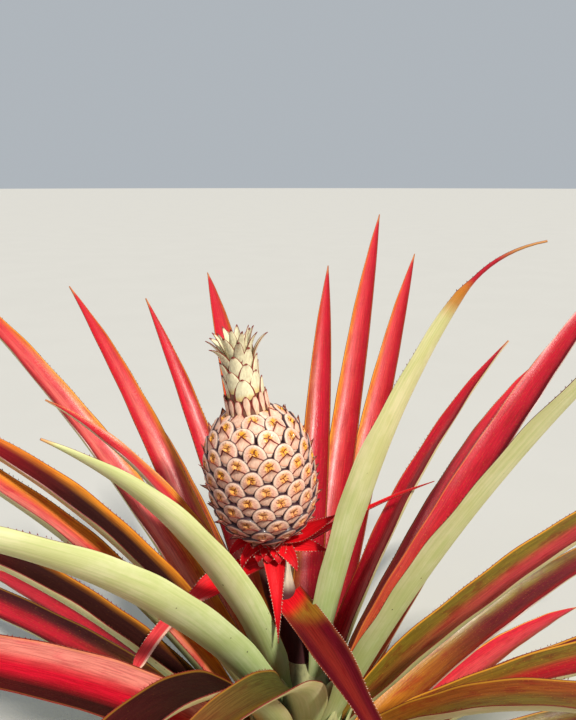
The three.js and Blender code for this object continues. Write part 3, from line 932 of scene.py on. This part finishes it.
def upper_tint(blade, settings, share, across):
    """Three tones side by side, red towards the tip and the base's tone at the foot, with a painted pink
    highlight along the middle.
    """
    first, middle, last = (TONES[tone] for tone in blade.tones.split())
    low, high = blade.split
    gloss_stripe = np.exp(-(((across + 0.08) / 0.26) ** 2)) * (1 - smooth(share, 0.45, 0.95))
    return layered(
        middle,
        (first, smooth(-across, low - TONE_BLUR, low + TONE_BLUR)),
        (last, smooth(across, high - TONE_BLUR, high + TONE_BLUR)),
        (settings.tip, blade.red * smooth(share, 0.50, 0.92)),
        (TONES[blade.base], 0.75 * (1 - smooth(share, 0.10, 0.40))),
        # Painted highlight: a pale pink stripe along the middle that stands for the leaf's gloss.
        (TONES["pink"], blade.gloss_stripe * gloss_stripe),
    )


def lower_tint(blade, settings, share, across):
    """Waxy green, greener and darker towards the foot, partly its own tone there and partly painted shade,
    with a flush at the margins and the tip.
    """
    return layered(
        settings.underside,
        # Painted shade, in part: the lower face turns a darker green towards the foot.
        (settings.sap_and_shade, 0.8 * (1 - smooth(share, 0.10, 0.55))),
        (settings.blush, blade.flush * smooth(np.abs(across), 0.45, 1.0)),
        (settings.blush, blade.flush * 0.8 * smooth(share, 0.55, 1.0)),
    )


def leaf_tint(blade, settings, share, across):
    """Colours of a leaf's points. A hooked leaf turns to straw before its tip withers past a red band."""
    upper = np.arange(len(share)) < len(share) // 2
    faces = [face(blade, settings, share, across) for face in (upper_tint, lower_tint)]
    tint = np.where(upper[:, None], *faces)
    if not blade.hook:
        return layered(tint, (settings.withered, smooth(share, 0.965, 0.995)))
    return layered(
        tint,
        (settings.straw, 0.75 * smooth(share, 0.40, 0.62)),
        (TONES["gold"], smooth(share, 0.79, 0.84)),
        (settings.tip, smooth(share, 0.855, 0.87)),
        (settings.withered, smooth(share, 0.92, 0.96)),
    )


class PLANT_OT_leaves(bpy.types.Operator):
    """Add the rosette's leaves"""

    bl_idname = "plant.leaves"
    bl_label = "Leaves"

    def execute(self, context):
        settings = context.scene.plant_leaves
        grid = (settings.rows, settings.columns)
        kind = Kind(leaf_width, LEAF_CURL, settings.thickness, *grid, settings.ripple)
        plain = upper_material("leaf_upper", settings, 0.25)
        golden = upper_material("leaf_upper_golden", settings, 0.85)
        dull = upper_material("leaf_upper_dull", settings, 0.25, 0.62, 0.1, 0.0, speckled=0.04, mottled=0.35)
        under = under_material("leaf_under")
        margin = plain_material("leaf_margin", settings.spine, 0.35)
        for seed, (name, blade) in enumerate(rosette().items()):
            start = foot_on(STEM_PROFILE, blade, LEAF_SUNK)
            leaf, share, across = add_blade("blade_" + name, blade, start, kind, seed)
            paint(leaf, leaf_tint(blade, settings, share, across))
            upper = golden if blade.golden else plain
            # Leaves with painted shade take the upper face without shine.
            dress(leaf, dull if DULL_TONES & set(blade.tones.split()) else upper, under, margin)
            add_spines(leaf, spine_corners(blade, start, kind, settings, LEAF_SPINES, seed), 2)
            seat(leaf, "leaf", name)
        return {"FINISHED"}


# Stem

class PLANT_OT_stem(bpy.types.Operator):
    """Add the stem and the leaf bases that clasp it"""

    bl_idname = "plant.stem"
    bl_label = "Stem"

    def execute(self, context):
        settings = context.scene.plant_stem
        core = add_turned("stem_core", STEM_PROFILE)
        height = numbers(core.data.vertices, "co")[:, 2]
        paint(core, layered(settings.bark, (settings.pale, 0.5 * smooth(height, 0.13, 0.21))))
        dress(core, tinted_material("stem_bark", 0.8, (120, 120, 40), 0.5, 0.0006))
        seat(core, "stem", "stem")
        sheath = tinted_material("leaf_base", 0.55, (260, 260, 30), 0.35, 0.0003)
        kinds = (bract_width, OLD_BASE_CURL), (petal_width, CLASPING_CURL)
        old, clasping = (Kind(width, curl, BASE_THICKNESS, *BASE_GRID) for width, curl in kinds)
        bases = [(old, *self.old_base(settings, k)) for k in range(settings.bases)]
        bases += [(clasping, self.clasping_base(leaf), 1.0) for leaf in INNER_LEAVES + MIDDLE_LEAVES]
        pieces = []
        for k, (kind, blade, pale) in enumerate(bases):
            base, share, _ = add_blade(f"base_{k}", blade, foot_on(STEM_PROFILE, blade, BASE_SUNK), kind, k)
            dried = smooth(share, 0.6, 1.0) * between((0.8, 0.1), pale)
            paint(base, layered(settings.straw, (settings.pale, pale), (TONES["bark"], dried)))
            dress(base, sheath, sheath, sheath)
            pieces.append(base)
        seat(join("leaf_bases", pieces), "stem")
        return {"FINISHED"}

    def old_base(self, settings, k):
        """The base of a leaf that is gone, and how pale it is."""
        blade = OLD_BASE_TIER.blade(k, settings.bases, settings.length, settings.width)
        return blade, smooth(k / (settings.bases - 1), 0.2, 0.6)

    def clasping_base(self, leaf):
        """The sheath with which a leaf clasps the stem below its foot."""
        width, foot = leaf.width * CLASPING_WIDTH, leaf.foot - CLASPING_DROP
        return Blade(leaf.azimuth, CLASPING_RISE, CLASPING_TIP, CLASPING_LENGTH, width, foot)


# Stalk

def stalk_start(blade, height):
    """Where a blade starts in the stalk at a height."""
    t = np.linspace(0, 1, 400)[:, None]
    a, b, c, d = STALK_POINTS
    line = a * (1 - t) ** 3 + 3 * b * t * (1 - t) ** 2 + 3 * c * t**2 * (1 - t) + d * t**3
    middle = np.array([np.interp(height, line[:, 2], line[:, i]) for i in range(3)])
    return middle + direction(blade.azimuth, 0) * (STALK_RADIUS - STALK_FOOT_SUNK)


class PLANT_OT_stalk(bpy.types.Operator):
    """Add the fruit's stalk"""

    bl_idname = "plant.stalk"
    bl_label = "Stalk"

    def execute(self, context):
        settings = context.scene.plant_stalk
        bpy.ops.curve.primitive_bezier_curve_add()
        curve = bpy.context.object.data
        first, last = curve.splines[0].bezier_points
        for point in (first, last):
            point.handle_left_type = point.handle_right_type = "FREE"
        a, b, c, d = (tuple(p) for p in STALK_POINTS)
        first.co, first.handle_right, first.handle_left = a, b, a
        last.co, last.handle_left, last.handle_right = d, c, d
        curve.resolution_u = 40
        curve.bevel_depth = STALK_RADIUS
        curve.bevel_resolution = 8
        curve.use_fill_caps = True
        bpy.ops.object.convert(target="MESH")
        stalk = bpy.context.object
        stalk.name = "stalk_tube"
        place = numbers(stalk.data.vertices, "co")
        # Painted sunlight: cream on the stalk's upper right side, over a dark purple that is partly painted
        # shade.
        sunlit = smooth(place[:, 2] + 0.5 * place[:, 0], *STALK_SUNLIT)
        paint(stalk, layered(settings.purple, (settings.cream, sunlit)))
        dress(stalk, tinted_material("stalk_skin", 0.5, (260, 260, 60), 0.2, 0.0003))
        bpy.ops.object.shade_smooth()
        seat(stalk, "stalk", "stalk")
        return {"FINISHED"}


def bract_tint(settings, share, across):
    """Scarlet, a little darker towards the point and paler along the margins."""
    return layered(
        settings.scarlet,
        (TONES["ruby"], 0.6 * smooth(share, 0.45, 1.0)),
        (TONES["coral"], 0.35 * smooth(np.abs(across), 0.8, 1.0)),
    )


def front_leaf_tint(settings, share, across):
    """Scarlet foot, an olive-orange band, then brick red and wine, with tan margins."""
    return layered(
        settings.scarlet,
        (TONES["amber"], smooth(share + 0.05 * across, 0.08, 0.17)),
        (TONES["brick"], smooth(share - 0.06 * across, 0.13, 0.26)),
        (TONES["wine"], smooth(np.abs(across), 0.1, 0.6) * smooth(share, 0.2, 0.3)),
        (TONES["tan"], 0.5 * smooth(np.abs(across), 0.90, 0.98)),
    )


def left_leaf_tint(settings, share, across):
    """Scarlet foot, then rose with one pale margin."""
    outer = smooth(share, 0.38, 0.52)
    pale = outer * smooth(across, 0.45, 0.75)
    return layered(settings.scarlet, (TONES["rose"], outer), (TONES["shell"], pale))


def add_bract(name, blade, height, settings, rows, width, tint, materials, seed):
    """A bract or a stalk leaf with its fine spines."""
    kind = Kind(width, BRACT_CURL, settings.thickness, rows, BRACT_COLUMNS, BRACT_RIPPLE)
    start = stalk_start(blade, height)
    piece, share, across = add_blade(name, blade, start, kind, seed)
    paint(piece, tint(settings, share, across))
    dress(piece, *materials)
    add_spines(piece, spine_corners(blade, start, kind, settings, BRACT_SPINES, seed), 3)
    return piece


class PLANT_OT_bracts(bpy.types.Operator):
    """Add the stalk leaves and the ruff of bracts under the fruit"""

    bl_idname = "plant.bracts"
    bl_label = "Stalk leaves and ruff"

    def execute(self, context):
        settings = context.scene.plant_stalk
        upper = upper_material("bract_upper", context.scene.plant_leaves, 0.0, 0.42, 0.09, 0.0, speckled=0.0)
        materials = (upper, upper, upper, plain_material("bract_spine", settings.pale_spine, 0.4))
        widths = {"front": strap_width, "left": blunt_width, "hanging": hanging_width}
        tints = {"front": front_leaf_tint, "left": left_leaf_tint}
        for seed, (side, blade) in enumerate(STALK_LEAVES.items()):
            name = "stalk_leaf_" + side
            look = (widths.get(side, bract_width), tints.get(side, bract_tint), materials, seed)
            leaf = add_bract("blade_" + name, blade, blade.foot, settings, STALK_LEAF_ROWS, *look)
            seat(leaf, "bract", name)
        height = FRUIT_BASE[2] - RUFF_DEPTH
        ruff = []
        for k, blade in enumerate(RUFF):
            look = (ruff_width, bract_tint, materials, RUFF_SEED + k)
            ruff.append(add_bract(f"bract_{k}", blade, height, settings, RUFF_ROWS, *look))
        seat(join("ruff", ruff), "bract", "stalk")
        return {"FINISHED"}


# Fruit

def fruit_radius(share):
    return FRUIT_RADIUS * np.maximum(0, 1 - np.abs(2 * share - 1) ** FRUIT_BULGE) ** (1 / FRUIT_SHOULDER)


@dataclass
class Eye:
    """An eye of the fruit, with lengths across it in shares of its radius."""

    index: int
    frame: tuple  # its place on the core, and its right, upward and outward directions
    outline: np.ndarray  # how far it reaches at each of the angles, in metres
    radius: float

    def points(self, x, y, height):
        place, right, upward, out = self.frame
        flat = x[..., None] * right + y[..., None] * upward
        return (place + self.radius * flat + height[..., None] * out).reshape(-1, 3)

    def dome(self, x, y, ring, proud):
        """Height of the rounded skin, without its pit."""
        rounded = proud * (1 - ring**EYE_EDGE) + EYE_CROWN * proud * (1 - ring**2)
        return rounded - (x**2 + y**2) * self.radius**2 / CORE_ROUNDNESS + EYE_TILT * y * self.radius


def eye_frames():
    """Where each eye sits on the core, with its right, upward and outward directions."""
    slices = np.linspace(0, 1, 401)
    radius = fruit_radius(slices)
    strips = (radius[:-1] + radius[1:]) * np.hypot(np.diff(radius), FRUIT_HEIGHT / 400)
    area = np.concatenate([[0], np.cumsum(strips)])
    share = np.interp(area[-1] * np.linspace(*EYE_AREA, EYES), area, slices)
    azimuth = GOLDEN_ANGLE * np.arange(EYES)
    slope = (fruit_radius(share + 0.01) - fruit_radius(share - 0.01)) / (0.02 * FRUIT_HEIGHT)
    out = direction(azimuth, -np.degrees(np.arctan(slope)))
    place = direction(azimuth, 0) * fruit_radius(share)[:, None]
    place[:, 2] = (share - 0.5) * FRUIT_HEIGHT
    right = direction(azimuth + 90, 0)
    return place, right, np.cross(out, right), out


def eye_room(frames, k):
    """How far eye k reaches at each angle before it meets its neighbours, with rounded corners."""
    place, right, upward, out = frames
    offset = (place + out * ROOM_LIFT) - (place[k] + out[k] * ROOM_LIFT)
    near = (np.linalg.norm(offset, axis=1) < EYE_NEAR) & (out @ out[k] > 0.2)
    near[k] = False
    x = offset[near] @ right[k]
    y = offset[near] @ upward[k]
    reach = (np.cos(EYE_ANGLES)[:, None] * x + np.sin(EYE_ANGLES)[:, None] * y) * 2 / (x**2 + y**2)
    closest = (np.maximum(reach, 0) ** ROOM_CORNERS).sum(axis=1) + EYE_REACH**-ROOM_CORNERS
    return closest ** (-1 / ROOM_CORNERS)


def grow_eye(frames, k):
    """Eye k, with a round arch over a foot that is tucked under the eyes below."""
    room = eye_room(frames, k)
    radius = math.sqrt((room**2).mean())
    arched = smooth(np.sin(EYE_ANGLES), -0.50, -0.05)
    uneven = 1 + EYE_UNEVEN * (np.sin(2 * EYE_ANGLES + 1.7 * k) + np.sin(3 * EYE_ANGLES + 2.3 * k))
    outline = uneven * (EYE_ARCH * radius * arched + EYE_TUCKED * room * (1 - arched))
    return Eye(k, tuple(part[k] for part in frames), outline, radius)


def eye_skin(eye, settings, ripeness, brightness, turn):
    """An eye's points, with a pit and three sepals round it, their colours and their places round the pit."""
    ring, angle = np.meshgrid(EYE_RINGS, EYE_ANGLES, indexing="ij")
    reach = ring * eye.outline * settings.fill / eye.radius
    x, y, ring = (np.append(0, part) for part in (reach * np.cos(angle), reach * np.sin(angle), ring))
    across, along = x - PIT[0], y - PIT[1]
    pit = np.hypot(across, along) / PIT_RADIUS
    sepals = np.cos(3 * (np.arctan2(along, across) - math.pi / 2)) * np.exp(-(((pit - 1.1) / 0.7) ** 2))
    hollow = PIT_DEPTH * np.maximum(0, 1 - pit**2) ** 1.5
    height = eye.dome(x, y, ring, settings.proud) + settings.proud * (SEPAL_HEIGHT * sepals - hollow)
    arched = smooth(y / np.maximum(ring, 0.1), -0.95, -0.60)
    tint = layered(
        settings.cream,
        (settings.orange, ripeness * (1 - smooth(np.hypot(across, along * 0.8), 0.22, 0.58))),
        # Painted highlight: a pale band over the outer part of each eye.
        (settings.rim, smooth(ring, 0.62, 0.80)),
        # Painted shade, in part: a dark band where the arched top of an eye falls into the groove.
        (settings.groove, arched * smooth(ring, 0.885, 0.925)),
    )
    c, s = math.cos(turn), math.sin(turn)
    inside = np.stack([across * c - along * s, across * s + along * c, 0 * x + eye.index], -1)
    return eye.points(x, y, height), tint * brightness, inside


def eye_faces():
    """Faces of one eye: a fan round its middle, and rings of quads."""
    loop = np.arange(EYE_SIDES)
    pairs = list(zip(loop, (loop + 1) % EYE_SIDES))
    inner = 1 + EYE_SIDES * np.arange(len(EYE_RINGS) - 1)
    quads = [(i + a, i + a + EYE_SIDES, i + b + EYE_SIDES, i + b) for i in inner for a, b in pairs]
    return [(0, 1 + a, 1 + b) for a, b in pairs] + quads


def bract_skin(eye, settings, brightness, lift, lean):
    """An eye's pointed bract: the points of both faces, their colours and their places across and along."""
    rows, columns = EYE_BRACT_GRID
    s, u = np.meshgrid(np.linspace(0, 1, rows), np.linspace(-1, 1, columns), indexing="ij")
    y = between((EYE_BRACT_FOOT, EYE_BRACT_POINT), s)
    low = np.maximum(0, (y - EYE_BRACT_FOOT) / (EYE_BRACT_SHOULDER - EYE_BRACT_FOOT)) ** 0.6
    high = np.maximum(0, (EYE_BRACT_POINT - y) / (EYE_BRACT_POINT - EYE_BRACT_SHOULDER)) ** 1.1
    half = EYE_BRACT_SPREAD * np.where(y < EYE_BRACT_SHOULDER, low, high) + EYE_BRACT_TIP
    x, inward = u * half, (1 - np.abs(u)) * half
    outline = np.interp(np.arctan2(y, x), EYE_ANGLES, eye.outline, period=2 * math.pi)
    ring = np.clip(np.hypot(x, y) * eye.radius / outline, 0, 0.97)
    raised = settings.lift * lift * smooth(s, 0.56, 1.06) + EYE_BRACT_THICKNESS
    height = eye.dome(x, y, ring, settings.proud) + raised
    leaning = x + lean * smooth(s, 0.4, 1.0)
    points = [eye.points(leaning, y, height - below) for below in (0.0, EYE_BRACT_THICKNESS)]
    flushed = 0.60 * smooth(eye.index / EYES, 0.3, 1.0)
    rim = np.clip(1.3 * inward.ravel(), 0, 0.7)
    tint = layered(settings.cream, (settings.flush, flushed), (settings.rim, rim)) * brightness
    near_edge = np.clip(1 - inward * eye.radius / EYE_BRACT_LINE, 0, 1)
    near_edge *= smooth(y, EYE_BRACT_SHOULDER - 0.25, EYE_BRACT_SHOULDER)
    where = np.stack([near_edge, s, 0 * s], -1).reshape(-1, 3)
    return np.concatenate(points), np.tile(tint, (2, 1)), np.tile(where, (2, 1))


def bract_faces(rows, columns):
    """Faces of one bract: the upper face, the lower face and the rim between them."""
    index = np.arange(rows * columns).reshape(rows, columns)
    quads = np.stack([index[:-1, :-1], index[:-1, 1:], index[1:, 1:], index[1:, :-1]], -1).reshape(-1, 4)
    edge = np.concatenate([index[0, :-1], index[:-1, -1], index[-1, :0:-1], index[:0:-1, 0]])
    following = np.roll(edge, -1)
    rim = np.stack([following, edge, edge + index.size, following + index.size], -1)
    return np.concatenate([quads, quads[:, ::-1] + index.size, rim])


def add_to_eyes(name, skins, faces, attribute, material):
    """One piece out of a skin on each eye: points, their colours and the attribute its material reads."""
    points, tints, vectors = (np.concatenate(part) for part in zip(*skins))
    step = len(points) // len(skins)
    all_faces = [tuple(step * k + corner for corner in face) for k in range(len(skins)) for face in faces]
    piece = mesh_piece(name, in_head(points), all_faces)
    paint(piece, tints)
    store(piece, attribute, vectors)
    dress(piece, material)
    seat(piece, "fruit", "fruit")


class PLANT_OT_fruit(bpy.types.Operator):
    """Add the fruit: its dark core, and an eye with its bract at each place of the spiral"""

    bl_idname = "plant.fruit"
    bl_label = "Fruit"

    def execute(self, context):
        settings = context.scene.plant_fruit
        profile = [((s - 0.5) * FRUIT_HEIGHT, fruit_radius(s)) for s in np.linspace(0.01, 0.99, 40)]
        core = add_turned("fruit_core", profile, 64)
        move_to_head(core)
        # The core shows only in the gaps between the eyes; its near-black is partly painted shade in those
        # grooves.
        dress(core, plain_material("fruit_groove", settings.groove, 0.6))
        seat(core, "fruit", "fruit")
        frames = eye_frames()
        eyes = [grow_eye(frames, k) for k in range(EYES)]
        draw = np.random.default_rng(EYE_SEED)
        ripeness = between(RIPENESS, np.arange(EYES) / EYES) * draw.uniform(*RIPENESS_VARIES, EYES)
        brightness = draw.uniform(*BRIGHTNESS, EYES)
        lifts = draw.uniform(*BRACT_LIFTS, EYES)
        leans = draw.normal(0, BRACT_LEAN, EYES)
        turns = np.random.default_rng(TURN_SEED).normal(0, EYE_TURN, EYES)
        looks = zip(eyes, np.clip(ripeness, 0, 1), brightness, turns)
        skins = [eye_skin(eye, settings, *look) for eye, *look in looks]
        add_to_eyes("fruit_eyes", skins, eye_faces(), "in_eye", eye_material("fruit_skin", settings.edge))
        bpy.ops.object.shade_smooth()
        skins = [bract_skin(eye, settings, *look) for eye, *look in zip(eyes, brightness, lifts, leans)]
        edged = edged_material("fruit_bract", settings.edge, 0.66, 0.76)
        add_to_eyes("fruit_bracts", skins, bract_faces(*EYE_BRACT_GRID), "where", edged)
        bpy.ops.object.shade_smooth_by_angle(angle=math.radians(60))
        return {"FINISHED"}


# Crown

def neck_bract(k, width):
    """The upright bracts stand in a ring on the fruit's shoulder, some higher than others."""
    wobble = math.sin(GOLDEN_ANGLE * k)
    azimuth = 360 * k / NECK_BRACTS + NECK_SWAY * wobble
    mean, stray = NECK_LENGTH
    return Blade(azimuth, NECK_RISE, NECK_TIP, mean + stray * wobble, width, NECK_STEP * (k % 2))


class PLANT_OT_crown(bpy.types.Operator):
    """Add the crown: scales that clasp a short core, over a neck of upright bracts"""

    bl_idname = "plant.crown"
    bl_label = "Crown"

    def execute(self, context):
        settings = context.scene.plant_crown
        skin = edged_material("crown_scale", settings.edge, 0.80, 0.88)
        core = add_turned("crown_core", CROWN_PROFILE, 32)
        move_to_head(core, FRUIT_HEIGHT / 2)
        paint(core, settings.shade)
        dress(core, skin)
        neck = [neck_bract(k, settings.neck_width) for k in range(NECK_BRACTS)]
        broad = [BROAD_TIER.blade(k, BROAD_SCALES, width=settings.scale_width) for k in range(BROAD_SCALES)]
        top = [TOP_TIER.blade(k, TOP_SCALES, width=settings.scale_width) for k in range(TOP_SCALES)]
        kind = Kind(petal_width, NECK_CURL, SCALE_THICKNESS, *SCALE_GRID)
        neck_skin = edged_material("neck_bract", settings.edge, 0.62, 0.76)
        pieces = [core, *self.add_ring("neck_bract", neck, kind, settings, neck_skin, settings.pink, 0.3)]
        kind = Kind(scale_width, SCALE_CURL, SCALE_THICKNESS, *SCALE_GRID)
        for name, blades in (("broad_scale", broad), ("top_scale", top)):
            pieces += self.add_ring(name, blades, kind, settings, skin, settings.pale, 0.8)
        seat(join("crown_scales", pieces), "crown", "crown")
        return {"FINISHED"}

    def add_ring(self, name, blades, kind, settings, skin, tone, yellowed):
        """The scales of one kind, with yellow feet and dark points."""
        scales = []
        for k, blade in enumerate(blades):
            start = foot_on(CROWN_PROFILE, blade, SCALE_SUNK)
            scale, share, _ = add_blade(f"{name}_{k}", blade, start, kind, k)
            foot = (settings.yellow, yellowed * (1 - smooth(share, 0.05, 0.35)))
            point = (settings.edge, 0.5 * smooth(share, 0.80, 1.0))
            paint(scale, layered(tone, foot, point))
            dress(scale, skin, skin, skin)
            move_to_head(scale, FRUIT_HEIGHT / 2)
            scales.append(scale)
        return scales


# Stage

class PLANT_OT_stage(bpy.types.Operator):
    """Add the floor, the light and the camera"""

    bl_idname = "plant.stage"
    bl_label = "Stage"

    def execute(self, context):
        settings = context.scene.plant_stage
        bpy.ops.mesh.primitive_circle_add(vertices=96, radius=FLOOR_RADIUS, fill_type="NGON")
        floor = bpy.context.object
        floor.name = "floor"
        dress(floor, plain_material("floor", settings.floor, 0.85, 3.0, 0.02))
        bpy.ops.object.light_add(type="SUN", location=SUN_PLACE, rotation=SUN_TURN)
        sun = bpy.context.object.data
        sun.energy = settings.sun_strength
        sun.angle = settings.sun_softness
        sun.color = SUN_COLOUR
        world = bpy.data.worlds.new("studio")
        world.use_nodes = True
        background = world.node_tree.nodes["Background"]
        background.inputs["Color"].default_value = rgba(settings.sky)
        background.inputs["Strength"].default_value = settings.sky_strength
        context.scene.world = world
        bpy.ops.object.camera_add(location=CAMERA_PLACE, rotation=(math.radians(90 - CAMERA_PITCH), 0, 0))
        camera = bpy.context.object
        camera.data.lens = CAMERA_LENS
        camera.data.sensor_width = CAMERA_SENSOR
        camera.data.clip_start = 0.01
        context.scene.camera = camera
        context.scene.view_settings.view_transform = "Standard"
        return {"FINISHED"}


class PLANT_PT_panel(bpy.types.Panel):
    """Every step of the plant, in order"""

    bl_label = "Plant"
    bl_idname = "PLANT_PT_panel"
    bl_space_type = "VIEW_3D"
    bl_region_type = "UI"
    bl_category = "Plant"

    def draw(self, context):
        for operator, settings in STEPS:
            box = self.layout.box()
            box.operator(operator.bl_idname)
            group = getattr(context.scene, settings)
            for name in group.__annotations__:
                box.prop(group, name)


STEPS = [
    (PLANT_OT_stage, "plant_stage"),
    (PLANT_OT_stem, "plant_stem"),
    (PLANT_OT_leaves, "plant_leaves"),
    (PLANT_OT_stalk, "plant_stalk"),
    (PLANT_OT_bracts, "plant_stalk"),
    (PLANT_OT_fruit, "plant_fruit"),
    (PLANT_OT_crown, "plant_crown"),
]
GROUPS = {
    "plant_stage": StageSettings,
    "plant_stem": StemSettings,
    "plant_leaves": LeafSettings,
    "plant_stalk": StalkSettings,
    "plant_fruit": FruitSettings,
    "plant_crown": CrownSettings,
}


def register():
    for name, group in GROUPS.items():
        bpy.utils.register_class(group)
        setattr(bpy.types.Scene, name, PointerProperty(type=group))
    for operator, _ in STEPS:
        bpy.utils.register_class(operator)
    bpy.utils.register_class(PLANT_PT_panel)


def unregister():
    bpy.utils.unregister_class(PLANT_PT_panel)
    for operator, _ in reversed(STEPS):
        bpy.utils.unregister_class(operator)
    for name, group in GROUPS.items():
        delattr(bpy.types.Scene, name)
        bpy.utils.unregister_class(group)


def main():
    register()
    for operator, _ in STEPS:
        module, name = operator.bl_idname.split(".")
        bpy.ops.object.select_all(action="DESELECT")
        getattr(getattr(bpy.ops, module), name)()


if __name__ == "__main__":
    main()
